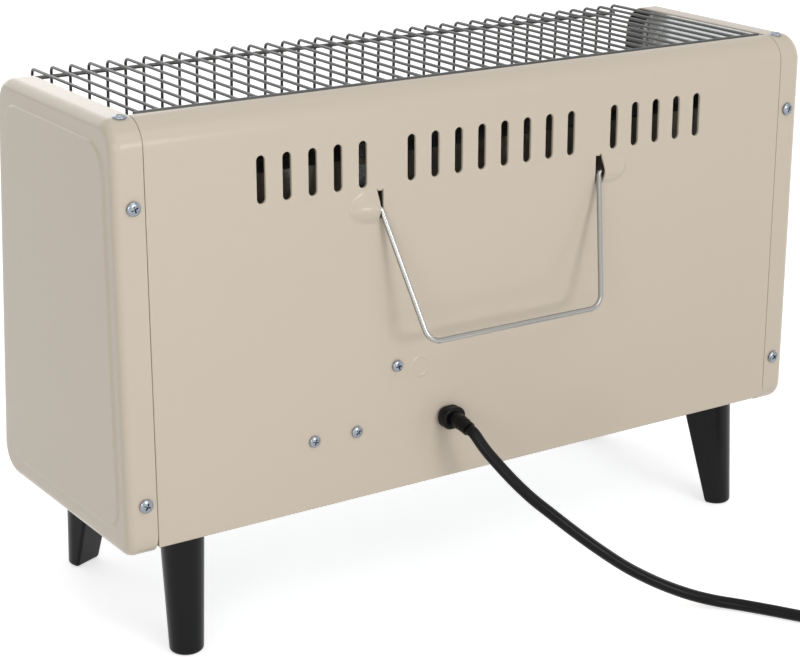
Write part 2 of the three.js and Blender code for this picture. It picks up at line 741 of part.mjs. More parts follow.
function frontGuard() {
  const half = HALF - GUARD.inset;
  const railY = -LIP.reach - FIT - GUARD.rail;
  const wireAt = (x) => {
    const corners = [
      vector(x, railY, GUARD.top),
      vector(x, guardFrontAt(GUARD.top), GUARD.top),
      vector(x, guardFrontAt(guardFootZ), guardFootZ),
      vector(x, guardFrontAt(guardFootZ) + GUARD.foot, guardFootZ),
    ];
    return bar(bent(corners, GUARD.bend, 2), GUARD.wire, GUARD.sides);
  };
  const wires = Array.from({ length: GUARD.wires }, (_, i) => wireAt(half * ((2 * i) / (GUARD.wires - 1) - 1)));
  const inward = GUARD.wire + GUARD.cross - FIT;
  const across = GUARD.crossHeights.map((z) => {
    const y = guardFrontAt(z) + inward;
    return rod(vector(-half - GUARD.cross, y, z), vector(half + GUARD.cross, y, z), GUARD.cross, GUARD.sides);
  });
  const reach = SEAM - FIT;
  const rail = rod(vector(-reach, railY, GUARD.top), vector(reach, railY, GUARD.top), GUARD.rail, 8);
  return join(...wires, ...across, rail);
}

add("front_guard", frontGuard(), "zinc");

// Reflector

// A line moved sideways: each point goes along the mean normal of the two stretches that meet there.
function offset(line, distance) {
  const normals = line.slice(1).map(([y, z], i) => {
    const length = Math.hypot(y - line[i][0], z - line[i][1]);
    return [-(z - line[i][1]) / length, (y - line[i][0]) / length];
  });
  return line.map(([y, z], i) => {
    const a = normals[Math.max(i - 1, 0)];
    const b = normals[Math.min(i, normals.length - 1)];
    const share = distance / (1 + a[0] * b[0] + a[1] * b[1]);
    return [y + (a[0] + b[0]) * share, z + (a[1] + b[1]) * share];
  });
}

const reflectorBack = offset(reflectorLine, REFLECTOR.sheet);
add(
  "reflector",
  alongX([...reflectorLine, ...[...reflectorBack].reverse()], -REFLECTOR.half, REFLECTOR.half),
  "mirror",
);

// Tube holders: plates that stand in the reflector's trough.
function tubeHolder(side) {
  const floorLine = offset(reflectorLine, -FIT).slice(3, -1);
  const frontY = frontAt(FASCIA.top) + HOLDER.frontInset;
  const outline = [
    [HOLDER.rearY, openAt(HOLDER_SHARES.rear)],
    ...floorLine,
    [frontY, floorLine.at(-1)[1] + HOLDER.lift],
    [frontY, openAt(HOLDER_SHARES.front)],
  ];
  const holes = tubeHeights.map((z) => hole(vector(side * HOLDER.x, TUBE.y, z), X, CAP.radius + FIT));
  return cut(alongX(outline, ...between(side, HOLDER.x, HOLDER.x + HOLDER.sheet)), ...holes);
}

for (const { side, word } of SIDES) add(`tube_holder_${word}`, tubeHolder(side), "zinc");

// Tubes, their caps and elements
tubeHeights.forEach((z, i) => {
  const level = i ? "lower" : "upper";
  const middle = vector(0, TUBE.y, z);
  const ringProfile = [
    [TUBE.inner, -TUBE.half],
    [TUBE.outer, -TUBE.half],
    [TUBE.outer, TUBE.half],
    [TUBE.inner, TUBE.half],
    [TUBE.inner, -TUBE.half],
  ];
  add(`quartz_tube_${level}`, stand(turned(ringProfile, 12), middle, X), "quartz");
  const rodProfile = [
    [0, -ELEMENT.half],
    [ELEMENT.tail, -ELEMENT.half],
    [ELEMENT.tail, -ELEMENT.rodHalf - ELEMENT.rod],
    [ELEMENT.rod, -ELEMENT.rodHalf],
    [ELEMENT.rod, ELEMENT.rodHalf],
    [ELEMENT.tail, ELEMENT.rodHalf + ELEMENT.rod],
    [ELEMENT.tail, ELEMENT.half],
    [0, ELEMENT.half],
  ];
  add(`heating_element_${level}`, stand(turned(rodProfile, 10), middle, X), "zinc");
  const collarEnd = HOLDER.x - FIT;
  const capProfile = [
    [TUBE.outer + FIT, CAP.start],
    [CAP.radius, CAP.start],
    [CAP.radius, collarEnd - CAP.collarThick],
    [CAP.collar, collarEnd - CAP.collarThick],
    [CAP.collar, collarEnd],
    [CAP.radius, collarEnd],
    [CAP.radius, CAP.end],
    [ELEMENT.tail + FIT, CAP.end],
    [ELEMENT.tail + FIT, CAP.seat],
    [TUBE.outer + FIT, CAP.seat],
    [TUBE.outer + FIT, CAP.start],
  ];
  for (const { side, word } of SIDES)
    add(`tube_cap_${level}_${word}`, stand(turned(capProfile, 12), middle, vector(side, 0, 0)), "ceramic");
});

// Knob and switch
const behindFascia = -SHEET - FIT;

function controlKnob() {
  const { radius, height, clear, edge, gripCorners } = KNOB;
  const rim = height * 0.45;
  const side = [[radius, clear], [radius * 0.97, rim], [radius * 0.86, rim + edge]];
  const body = turned([[0, clear], ...side, [0, rim + edge]], 28);
  const [gripHalf, wide, narrow] = [0.8, 0.24, 0.17].map((share) => radius * share);
  const grip = rounded(
    [[-wide, -gripHalf], [wide, -gripHalf], [narrow, gripHalf], [-narrow, gripHalf]],
    gripCorners,
    3,
  );
  const bore = disc(KNOB.bore, clear - SHEET, clear + KNOB.boreDepth, 12);
  return stand(cut(join(body, alongZ(grip, clear + SHEET, height)), bore), knobAt, FRONT_NORMAL);
}

add("control_knob", controlKnob(), "black");

function selectorSwitch() {
  const half = SELECTOR.size / 2;
  const body = box([-half, half], [-half, half], [behindFascia - SELECTOR.depth, behindFascia]);
  const bushing = disc(SELECTOR.bushing, behindFascia - SHEET, SELECTOR.bushingHigh, 12);
  const shaft = disc(SELECTOR.shaft, behindFascia - SHEET, SELECTOR.shaftLong, 12);
  return stand(join(body, bushing, shaft), knobAt, FRONT_NORMAL);
}

add("selector_switch", selectorSwitch(), "black");

// Tip-over switch, cut-out, terminal block and the earth nut
function tipSwitch() {
  const wells = tipScrewSpots.map(({ at }) => {
    const bottom = vector(at.x, -SMALL_SCREW.long - SHEET, at.z);
    return rod(bottom, at, SMALL_SCREW.shank + FIT, 12);
  });
  return cut(box(TIP_SWITCH.x, TIP_SWITCH.y, TIP_SWITCH.z), ...wells);
}

add("tip_over_switch", tipSwitch(), "black");

const cutoutSeat = Math.max(...reflectorBack.slice(3, 5).map(([y]) => y)) + FIT;
add(
  "thermal_cutout",
  stand(
    join(
      disc(CUTOUT.disc, 0, CUTOUT.discLong, 16),
      disc(CUTOUT.body, CUTOUT.discLong - SHEET, CUTOUT.discLong + CUTOUT.bodyLong, 16),
    ),
    vector(CUTOUT.x, cutoutSeat, tubeHeights[0]),
    Y,
  ),
  "zinc",
);

function terminalBlock() {
  const floor = BASE_UNDERSIDE + SHEET + FIT;
  const top = floor + TERMINALS.high;
  const [x0, x1] = TERMINALS.x;
  const middle = (TERMINALS.y[0] + TERMINALS.y[1]) / 2;
  const wells = Array.from({ length: TERMINALS.wells }, (_, i) => {
    const x = x0 + ((x1 - x0) * (i + 0.5)) / TERMINALS.wells;
    return rod(vector(x, middle, top - TERMINALS.wellDeep), vector(x, middle, top + SHEET), TERMINALS.well, 10);
  });
  return cut(box(TERMINALS.x, TERMINALS.y, [floor, top]), ...wells);
}

add("terminal_block", terminalBlock(), "ceramic");

add(
  "earth_nut",
  cut(
    stand(
      disc(EARTH.nut, SHEET + FIT, SHEET + FIT + EARTH.nutHigh, 6),
      vector(EARTH.x, 0, EARTH.z),
      vector(0, -1, 0),
    ),
    hole(earthSpot.at, Y, SMALL_SCREW.shank + FIT),
  ),
  "zinc",
);

// Screws
for (const { name, at, out } of [...panelScrewSpots, ...topScrewSpots, ...frontScrewSpots])
  add(name, screw(SCREW, at, out), "zinc");
for (const { name, at, out } of [...tipScrewSpots, earthSpot]) add(name, screw(SMALL_SCREW, at, out), "zinc");

// Bail
function bailHandle() {
  const { axisY, pinEnd, shoulderX, barX, drop, leanShare } = BAIL;
  const low = vector(0, axisY + drop * leanShare, AXIS_Z - drop);
  const corners = [
    vector(pinEnd, axisY, AXIS_Z),
    vector(shoulderX, axisY, AXIS_Z),
    vector(barX, low.y, low.z),
    vector(-barX, low.y, low.z),
    vector(-shoulderX, axisY, AXIS_Z),
    vector(-pinEnd, axisY, AXIS_Z),
  ];
  const shoulders = bent(corners, BAIL.shoulderBend, 4);
  const bends = bent(corners, BAIL.cornerBend, 5);
  const line = [
    ...shoulders.slice(0, 6),
    ...bends.slice(7, 19),
    ...shoulders.slice(16),
  ];
  return bar(line, BAIL.wire, BAIL.sides);
}

add("bail_handle", bailHandle(), "zinc");

// Legs and their screws
function leg({ out, foot, top }) {
  const across = vector(-out.y, out.x, 0);
  const high = LEG_HEIGHT;
  const ring = (z, inset) => {
    const share = z / high;
    const mix = (low, up) => low + (up - low) * share;
    const radius = mix(LEG.footRadius, LEG.topRadius) - inset;
    const inside = mix(LEG.footInside, LEG.topInside) - inset;
    const middle = foot.clone().lerp(top, share).setZ(z);
    const arc = Array.from({ length: LEG.steps + 1 }, (_, k) => {
      const angle = Math.PI * (0.5 - k / LEG.steps);
      return [radius * Math.cos(angle), radius * Math.sin(angle)];
    });
    const fillet = Math.max(LEG.fillet - inset, LEG.leastFillet);
    const corner = (way) =>
      [0, 45, 90].map((degrees) => {
        const angle = radians(degrees);
        const u = -inside + fillet - fillet * (way < 0 ? Math.sin(angle) : Math.cos(angle));
        const v = radius - fillet + fillet * (way < 0 ? Math.cos(angle) : Math.sin(angle));
        return [u, way * v];
      });
    return [...arc, ...corner(-1), ...corner(1)].map(([u, v]) =>
      middle.clone().addScaledVector(out, u).addScaledVector(across, v),
    );
  };
  const { round } = LEG;
  const body = loft([ring(0, round), ring(round * 0.3, round * 0.3), ring(round, 0), ring(high, 0)]);
  const wellFloor = high - LEG.screwDeep - LEG.wellRoom;
  const well = rod(vector(top.x, top.y, wellFloor), vector(top.x, top.y, high + SHEET), LEG.screw + FIT, 12);
  return cut(body, well);
}

for (const spot of legSpots) {
  add(`leg_${spot.name}`, leg(spot), "black");
  const seat = BASE_UNDERSIDE + SHEET + FIT;
  const bolt = join(
    disc(LEG.screwHead, 0, LEG.screwHead * 0.7, 6),
    disc(LEG.screw, -LEG.screwDeep, SHEET, 12),
  );
  add(`leg_screw_${spot.name}`, stand(bolt, vector(spot.top.x, spot.top.y, seat), Z), "zinc");
}

// Strain relief: a bushing that is narrowest at the panel, its neck and inner flange, and the sleeve round the lead.
const sleevePoints = SLEEVE_STEPS.map(([x, y, z]) => vector(GLAND.x + x, y, GLAND.z + z));

function strainRelief() {
  const { x, z, wide, high, face, edge } = GLAND;
  const ring = (y, inset) => {
    const [across, up] = [wide / 2 - inset, high / 2 - inset];
    const corners = [[-across, -up], [across, -up], [across, up], [-across, up]];
    const radius = high * 0.42 - inset;
    return rounded(corners, [radius, radius, radius, radius], 4).map(([u, v]) => vector(x + u, y, z + v));
  };
  const head = loft([ring(FIT, edge * 0.7), ring(edge + FIT, 0), ring(face - edge, 0), ring(face, edge)]);
  const centre = vector(x, 0, z);
  const inside = -SHEET - FIT;
  const neck = stand(disc(GLAND.neck, inside - SHEET, SHEET, 20), centre, Y);
  const inner = stand(disc(GLAND.innerFlange, inside - GLAND.flangeThick, inside, 20), centre, Y);
  return join(head, neck, inner, bar(sleevePoints, SLEEVE_RADII, 14));
}

add("strain_relief", strainRelief(), "black");

// Mains lead: the stretch that lies free, then the coil, its tie and its plug.
const coilStart = radians(COIL.start);
const coilZ = LEAD.radius + COIL.lift;
const coilOuter = COIL.radius + (COIL.pitch * COIL.turns) / 4;
const coilX = COIL.from[0] - coilOuter * Math.cos(coilStart);
const coilY = COIL.from[1] - coilOuter * Math.sin(coilStart);

// The coil's centre line: in on the floor, up a layer in half a turn, and out again on top.
function coilLine() {
  const middle = COIL.turns / 2;
  const inner = coilOuter - COIL.pitch * middle;
  return Array.from({ length: Math.round(COIL.turns * COIL.loopSteps) + 1 }, (_, k) => {
    const turn = k / COIL.loopSteps;
    const climb = THREE.MathUtils.smoothstep(turn, middle - 0.25, middle + 0.25);
    const radius = inner + COIL.pitch * Math.abs(turn - middle);
    const angle = coilStart + 2 * Math.PI * turn;
    return vector(
      coilX + radius * Math.cos(angle),
      coilY + radius * Math.sin(angle),
      coilZ + COIL.pitch * climb,
    );
  });
}

const PLUG_HEIGHT = PLUG.flat + FIT;
const turns = coilLine();
const heading = (from, to) => to.clone().sub(from).setZ(0).normalize();
const startWay = heading(turns[0], turns[1]);
const endWay = heading(turns.at(-2), turns.at(-1));
const coilFoot = turns[0].clone().addScaledVector(startWay, -LEAD.radius * 2);
const rise = turns.at(-1).clone().addScaledVector(endWay, LEAD.radius * 7).setZ(PLUG_HEIGHT);
const coilEnd = rise.clone().addScaledVector(endWay, LEAD.radius * 2);
const coilPath = [coilFoot, ...turns, rise, coilEnd];

add("cord_coil", bar(coilPath, LEAD.radius, COIL.sides), "black");

// The free stretch, point by point: out of the sleeve, down to the floor and over to the coil. Its fall is a share
// of the sleeve's height over the lead as it lies.
const FREE_PLAN = [
  [26.6, 33],
  [21.8, 40],
  [15.8, 48],
  [8.2, 55.5],
  [-1.2, 62.8],
  [-12, 70],
  [-25.2, 78],
  [-40.5, 85.5],
  [-57.3, 93],
  [-73, 101],
  [-86, 110],
  [-97, 122],
  [-107, 137],
  [-117, 153],
];
const FALL_SHARES = [0.91, 0.829, 0.74, 0.649, 0.558, 0.457, 0.343, 0.226, 0.124, 0.05, 0.01, 0, 0, 0];
const sleeveEnd = sleevePoints.at(-1);
const sleeveWay = sleeveEnd.clone().sub(sleevePoints.at(-2)).normalize();
const lyingZ = LEAD.radius + FIT / 3;
const freePoints = FREE_PLAN.map(([x, y], i) => vector(x, y, lyingZ + FALL_SHARES[i] * (sleeveEnd.z - lyingZ)));
const runStart = sleeveEnd.clone().addScaledVector(sleeveWay, FIT);
const runPoints = [
  runStart,
  runStart.clone().addScaledVector(sleeveWay, LEAD.radius * 1.4),
  ...freePoints,
  coilFoot.clone().addScaledVector(startWay, -LEAD.radius * 3),
  coilFoot.clone().addScaledVector(startWay, -FIT),
];
const runCurve = new THREE.CatmullRomCurve3(runPoints, false, "centripetal");
const leadSection = new THREE.Shape(
  circle({ x: 0, z: 0 }, LEAD.radius, LEAD.sides).map(([u, v]) => new THREE.Vector2(u, v)),
);
const runGeometry = new THREE.ExtrudeGeometry(leadSection, {
  steps: LEAD.steps,
  extrudePath: runCurve,
  bevelEnabled: false,
});
add("cord_run", solid(runGeometry), "black");

// Tie: a band round all the turns.
function cordTie() {
  const angle = coilStart + 2 * Math.PI * TIE_SHARE;
  const inTie = turns.filter((p) => {
    const off = Math.atan2(p.y - coilY, p.x - coilX) - angle;
    return Math.cos(off) > Math.cos(TIE.wide / COIL.radius);
  });
  const radii = inTie.map((p) => Math.hypot(p.x - coilX, p.y - coilY));
  const heights = inTie.map((p) => p.z);
  const clear = LEAD.radius + FIT;
  const section = (extra) => {
    const out = clear + extra;
    const [r0, r1] = [Math.min(...radii) - out - TIE.slack, Math.max(...radii) + out + TIE.slack];
    const [z0, z1] = [Math.min(...heights) - out, Math.max(...heights) + out];
    const corner = TIE.corner + extra;
    return rounded([[r0, z0], [r1, z0], [r1, z1], [r0, z1]], [corner, corner, corner, corner], 3);
  };
  const along = (outline, half) => alongY(outline, -half, half);
  const band = cut(along(section(TIE.thick), TIE.wide / 2), along(section(0), TIE.wide));
  return band.rotate([0, 0, THREE.MathUtils.radToDeg(angle)]).translate([coilX, coilY, 0]);
}

add("cord_tie", cordTie(), "black");

// Plug: a round body with two flats, its sleeve towards the lead and two pins.
function plug() {
  const { radius, flat, long, sleeve, pin, pinLong, pinRoot } = PLUG;
  const front = sleeve + long;
  const body = turned(
    [
      [0, 0],
      [LEAD.radius + PLUG.mouth, 0],
      [LEAD.radius + PLUG.neck, sleeve - PLUG.neckBack],
      [radius * 0.6, sleeve],
      [radius, sleeve + PLUG.shoulder],
      [radius, front],
      [0, front],
    ],
    24,
  );
  const flats = box([-flat, flat], [-radius * 2, radius * 2], [-SHEET, front + SHEET]);
  const pinProfile = [
    [0, front - pinRoot],
    [pin, front - pinRoot],
    [pin, front + pinLong - pin],
    [pin / 2, front + pinLong],
    [0, front + pinLong],
  ];
  const pins = [-1, 1].map((way) => turned(pinProfile, 12).translate([0, way * PLUG.pinGap, 0]));
  return join(body.intersect(flats), ...pins);
}

// The plug's local +X is turned up, so that it lies on one of its flats.
const plugBasis = new THREE.Matrix4()
  .makeBasis(Z, endWay.clone().cross(Z), endWay)
  .setPosition(coilEnd.clone().addScaledVector(endWay, FIT));
add("plug", plug().transform([...plugBasis.elements]), "black");

// Leads inside the body, each ending a little short of what it serves. Their steps are taken outwards, to the rear
// and upwards from a tube's end, or across, up and away from the back of the selector switch.
const LEAD_WIRE = 1.2;
const endX = ELEMENT.half + FIT;
const [upperZ, lowerZ] = tubeHeights;
const FRONT_UP = vector(0, FRONT_SLOPE, 1).normalize();
const BOW = { start: 3, shoulder: 9, out: 10, fall: 10 };
const UPPER_STEPS = { bow: [11, -8, -30], side: [8, -20, -40], low: [-16, -26, 12] };
const LOWER_STEPS = { bow: [7, -4, -26], low: [-2, -16, 14] };
const SUPPLY_STEPS = { fall: [24, -11, -20], entry: [8, 0, 1], near: [3, 0, 0], end: [FIT, 0, 0] };
const SWITCH_STEPS = {
  upper: [[22, 8, 18], [8, 4, 10], [8, 4, 3], [8, 4, 0]],
  lower: [[24, -4, 16], [8, -8, 9], [8, -8, 3], [8, -8, 0]],
  supply: [[-8, -4, 0], [-8, -4, 3], [-9, -4, 10], [-30, -10, 30]],
};
const behindSelector = ([across, up, away]) =>
  knobAt
    .clone()
    .addScaledVector(X, across)
    .addScaledVector(FRONT_UP, up)
    .addScaledVector(FRONT_NORMAL, behindFascia - SELECTOR.depth - FIT - away);
const atEnd = (z, [out, back, up]) => vector(endX + out, TUBE.y + back, z + up);
const bowAt = (out, z) => vector(-endX - out, TUBE.y, z);
const entryY = (TERMINALS.y[0] + TERMINALS.y[1]) / 2;
const atBlock = (z, [out, back, up]) => vector(TERMINALS.x[1] + out, entryY + back, z + up);
const entryZ = BASE_UNDERSIDE + TERMINALS.entry;
const INNER_LEADS = {
  lead_bridge: [
    bowAt(0, upperZ),
    bowAt(BOW.start, upperZ),
    bowAt(BOW.shoulder, upperZ - BOW.fall),
    bowAt(BOW.out, (upperZ + lowerZ) / 2),
    bowAt(BOW.shoulder, lowerZ + BOW.fall),
    bowAt(BOW.start, lowerZ),
    bowAt(0, lowerZ),
  ],
  lead_upper: [
    atEnd(upperZ, [0, 0, 0]),
    atEnd(upperZ, [BOW.start, 0, 0]),
    atEnd(upperZ, UPPER_STEPS.bow),
    atEnd(lowerZ, UPPER_STEPS.side),
    atEnd(KNOB.z, UPPER_STEPS.low),
    ...SWITCH_STEPS.upper.map(behindSelector),
  ],
  lead_lower: [
    atEnd(lowerZ, [0, 0, 0]),
    atEnd(lowerZ, [BOW.start, 0, 0]),
    atEnd(lowerZ, LOWER_STEPS.bow),
    atEnd(KNOB.z, LOWER_STEPS.low),
    ...SWITCH_STEPS.lower.map(behindSelector),
  ],
  lead_supply: [
    ...SWITCH_STEPS.supply.map(behindSelector),
    atBlock(KNOB.z, SUPPLY_STEPS.fall),
    atBlock(entryZ, SUPPLY_STEPS.entry),
    atBlock(entryZ, SUPPLY_STEPS.near),
    atBlock(entryZ, SUPPLY_STEPS.end),
  ],
};
for (const [name, points] of Object.entries(INNER_LEADS)) {
  const curve = new THREE.CatmullRomCurve3(points, false, "centripetal");
  add(name, bar(curve.getPoints(Math.round(points.length * 1.6)), LEAD_WIRE, 6), "brown");
}

// Facts for the record, printed by the build
function lengthOf(points) {
  return points.slice(1).reduce((sum, p, i) => sum + p.distanceTo(points[i]), 0);
}
const runLength = runCurve.getLength();
const coilLength = lengthOf(coilPath);
console.log(`lead: free ${runLength.toFixed(0)}, coil ${coilLength.toFixed(0)} of ${LEAD.length} in all`);

// The least gap of the coiled tube to itself, measured between points more than half a turn apart.
function coilGap() {
  let least = Infinity;
  const fine = new THREE.CatmullRomCurve3(turns).getPoints(turns.length * 4);
  const apart = COIL.loopSteps * 2;
  for (let i = 0; i < fine.length; i++)
    for (let j = i + apart; j < fine.length; j++) least = Math.min(least, fine[i].distanceTo(fine[j]));
  return least - LEAD.radius * 2;
}
console.log(`coil: least gap to itself ${coilGap().toFixed(2)}`);

// The finished part, centred along Y on everything but the lead.
const leadNodes = ["cord_run", "cord_coil", "cord_tie", "plug"];
const reach = new THREE.Box3();
heater.updateMatrixWorld(true);
heater.children.filter(({ name }) => !leadNodes.includes(name)).forEach((node) => reach.expandByObject(node));
const middleY = (reach.min.y + reach.max.y) / 2;
heater.position.set(CENTRE_X, -middleY, 0);
const size = reach.getSize(vector(0, 0, 0)).toArray().map((v) => v.toFixed(2));
console.log(`rear face at y ${(-middleY).toFixed(3)}; box ${size}`);
console.log(`bail axis y ${(BAIL.axisY - middleY).toFixed(3)} z ${AXIS_Z}`);
console.log(`knob centre y ${(knobAt.y - middleY).toFixed(3)} z ${knobAt.z}`);

const part = new THREE.Group();
part.add(heater);

export default part;
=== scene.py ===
"""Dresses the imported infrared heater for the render: enamelled panels, wire guard, bail, legs and mains lead.

Sizes are in millimetres in the part's own frame, where y is 0 on the rear panel's face and z is 0 on the floor.
`place` turns them into the row frame's metres.
"""

import json
import logging
import math
from dataclasses import dataclass
from enum import Enum

import bpy
from mathutils import Matrix, Quaternion, Vector
from mathutils.geometry import tessellate_polygon

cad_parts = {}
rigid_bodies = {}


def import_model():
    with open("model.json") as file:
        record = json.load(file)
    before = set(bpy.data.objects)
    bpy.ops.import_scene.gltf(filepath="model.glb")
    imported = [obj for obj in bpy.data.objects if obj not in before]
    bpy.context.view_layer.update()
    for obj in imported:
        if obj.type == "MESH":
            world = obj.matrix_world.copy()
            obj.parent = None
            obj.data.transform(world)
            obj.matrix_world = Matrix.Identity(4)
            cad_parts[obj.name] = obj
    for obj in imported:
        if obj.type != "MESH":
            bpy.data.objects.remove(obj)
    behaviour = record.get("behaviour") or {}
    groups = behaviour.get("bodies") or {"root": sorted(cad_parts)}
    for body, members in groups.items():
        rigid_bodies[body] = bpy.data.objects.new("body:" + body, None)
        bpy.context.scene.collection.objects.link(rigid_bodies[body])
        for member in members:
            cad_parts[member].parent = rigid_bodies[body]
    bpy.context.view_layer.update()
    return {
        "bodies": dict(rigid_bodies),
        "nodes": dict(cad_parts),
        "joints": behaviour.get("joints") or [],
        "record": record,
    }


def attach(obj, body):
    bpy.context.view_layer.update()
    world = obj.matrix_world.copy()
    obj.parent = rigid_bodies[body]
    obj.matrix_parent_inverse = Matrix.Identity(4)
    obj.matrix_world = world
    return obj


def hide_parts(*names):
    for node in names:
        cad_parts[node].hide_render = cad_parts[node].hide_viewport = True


log = logging.getLogger("heater")

MM = 0.001
REAR_FACE = 83.492
SIDES = (("right", 1.0), ("left", -1.0))

WIDTH, HEIGHT = 478.0, 311.0
HALF = WIDTH / 2
TOP_DEPTH, BOTTOM_DEPTH = 152.75, 179.05
LEG_HEIGHT = 72.1
BASE = 72.4
SHEET = 1.0
FIT = 0.3
FOOT_REAR, FOOT_FRONT = 67.7, 63.5
FOOT_SLOPE = (FOOT_REAR - FOOT_FRONT) / BOTTOM_DEPTH
FRONT_SLOPE = (BOTTOM_DEPTH - TOP_DEPTH) / (HEIGHT - FOOT_FRONT)
SEAM = HALF - 18.5
CORNERS = (15.5, 17.4, 17.2, 12.5)
AXIS_Z = 244.5
FASCIA_TOP = 139.5
DIAL_Z = 108.0
CORNER_STEPS = 8
NO_AREA = 1e-6

Point = tuple[float, float, float]
Flat = tuple[float, float]


# Places and shapes


def place(point: Vector | Point) -> Vector:
    """Returns a point of the part's frame, in mm, as metres in the row frame."""
    return Vector((point[0] * MM, (point[1] + REAR_FACE) * MM, point[2] * MM))


def front_at(z: float) -> float:
    """Returns the y of the sloping front at a height."""
    return -TOP_DEPTH - (HEIGHT - z) * FRONT_SLOPE


RIGHT, REAR, UP = Vector((1, 0, 0)), Vector((0, 1, 0)), Vector((0, 0, 1))
FRONT_NORMAL = Vector((0, -1, FRONT_SLOPE)).normalized()
FRONT_UP = Vector((0, FRONT_SLOPE, 1)).normalized()


def linked(name: str, data: bpy.types.ID) -> bpy.types.Object:
    """Makes an object and puts it in the scene.

    Args:
        name: The object's name.
        data: Its mesh, curve, lamp or camera.

    Returns:
        The new object.
    """
    made = bpy.data.objects.new(name, data)
    bpy.context.scene.collection.objects.link(made)
    return made


def arc(steps: int) -> list[float]:
    """Returns the angles of a quarter turn, both ends too, in equal steps."""
    return [math.pi / 2 * k / steps for k in range(steps + 1)]


def circle(count: int) -> list[float]:
    """Returns the angles of a full turn in equal steps."""
    return [2 * math.pi * k / count for k in range(count)]


def rectangle(wide: float, high: float, middle: Flat = (0.0, 0.0)) -> list[Flat]:
    """Returns a rectangle's corners from half its width, half its height and its middle."""
    x, y = middle
    return [(x - wide, y - high), (x + wide, y - high), (x + wide, y + high), (x - wide, y + high)]


def rounded(corners: list[Flat], radii: list[float], steps: int) -> list[Flat]:
    """Rounds the corners of a flat outline.

    Args:
        corners: The outline's corners.
        radii: The radius of each corner; 0 keeps it sharp.
        steps: The number of steps round each corner.

    Returns:
        The rounded outline's points.
    """
    points: list[Flat] = []
    for i, corner in enumerate(corners):
        if not radii[i]:
            points.append(corner)
            continue
        at = Vector(corner)
        before = (Vector(corners[i - 1]) - at).normalized()
        after = (Vector(corners[(i + 1) % len(corners)]) - at).normalized()
        half = before.angle(after) / 2
        middle = at + (before + after).normalized() * (radii[i] / math.sin(half))
        start = at + before * (radii[i] / math.tan(half)) - middle
        sweep = math.copysign(math.pi - 2 * half, start.x * (at - middle).y - start.y * (at - middle).x)
        for k in range(steps + 1):
            turn = sweep * k / steps
            cos, sin = math.cos(turn), math.sin(turn)
            x, y = start.x * cos - start.y * sin, start.x * sin + start.y * cos
            points.append((x + middle.x, y + middle.y))
    return points


def bent(corners: list[Vector], bends: list[float], steps: int) -> list[Vector]:
    """Rounds the inner corners of a wire's centre line.

    Args:
        corners: The wire's corner points.
        bends: The bend radius of each inner corner.
        steps: The number of steps round each bend.

    Returns:
        The centre line's points.
    """
    points = [corners[0]]
    for i in range(1, len(corners) - 1):
        corner, bend = corners[i], bends[i - 1]
        before = (corners[i - 1] - corner).normalized()
        after = (corners[i + 1] - corner).normalized()
        half = before.angle(after) / 2
        middle = corner + (before + after).normalized() * (bend / math.sin(half))
        start = corner + before * (bend / math.tan(half)) - middle
        end = corner + after * (bend / math.tan(half)) - middle
        axis, sweep = start.cross(end).normalized(), math.pi - 2 * half
        points += [Quaternion(axis, sweep * k / steps) @ start + middle for k in range(steps + 1)]
    return points + [corners[-1]]


def smooth_line(points: list[Vector], steps: int) -> list[Vector]:
    """Runs a smooth Catmull-Rom line through points.

    Args:
        points: The points that it passes.
        steps: The number of steps from one to the next.

    Returns:
        The line's points.
    """
    line: list[Vector] = []
    for i in range(len(points) - 1):
        a, b, c = points[max(i - 1, 0)], points[i], points[i + 1]
        d = points[min(i + 2, len(points) - 1)]
        for k in range(steps):
            t = k / steps
            near = 2 * b + (c - a) * t + (2 * a - 5 * b + 4 * c - d) * t**2
            line.append(0.5 * (near + (3 * b - a - 3 * c + d) * t**3))
    return line + [points[-1]]


class Shell:
    """Collects points and faces of one mesh, in the part's frame."""

    def __init__(self) -> None:
        """Starts an empty mesh."""
        self.points: list[Vector] = []
        self.faces: list[tuple[int, ...]] = []

    def ring(self, points: list[Vector]) -> list[int]:
        """Adds points.

        Args:
            points: The points, in order.

        Returns:
            Their numbers in the mesh.
        """
        first = len(self.points)
        self.points += [Vector(p) for p in points]
        return list(range(first, len(self.points)))

    def bridge(self, a: list[int], b: list[int], closed: bool = True) -> None:
        """Joins two rings of equally many points by four-sided faces.

        Args:
            a: The numbers of the first ring's points.
            b: The numbers of the second ring's points.
            closed: Whether each ring closes on itself.
        """
        for i in range(len(a) if closed else len(a) - 1):
            j = (i + 1) % len(a)
            self.faces.append((a[i], a[j], b[j], b[i]))

    def loft(
        self, rings: list[list[Vector]], closed: bool = True, caps: tuple[bool, bool] = (False, False)
    ) -> list[list[int]]:
        """Joins rings one after another.

        Args:
            rings: The rings' points.
            closed: Whether each ring closes on itself.
            caps: Whether the first and the last ring are filled.

        Returns:
            The numbers of each ring's points.
        """
        made = [self.ring(ring) for ring in rings]
        for a, b in zip(made, made[1:]):
            self.bridge(a, b, closed)
        if caps[0]:
            self.faces.append(tuple(reversed(made[0])))
        if caps[1]:
            self.faces.append(tuple(made[-1]))
        return made

    def piece(self, name: str, crease: float = 40.0, flip: bool = False) -> bpy.types.Object:
        """Makes the mesh, shaded smooth but for its creases.

        Args:
            name: The piece's name.
            crease: The angle in degrees above which an edge stays sharp.
            flip: Whether the faces turn the other way.

        Returns:
            The new object.
        """
        mesh = bpy.data.meshes.new(name)
        faces = [tuple(reversed(f)) for f in self.faces] if flip else self.faces
        mesh.from_pydata([place(p) for p in self.points], [], faces)
        mesh.validate()
        mesh.shade_smooth()
        mesh.set_sharp_from_angle(angle=math.radians(crease))
        made = linked(name, mesh)
        weigh = made.modifiers.new("flat faces first", "WEIGHTED_NORMAL")
        weigh.keep_sharp = True
        return made


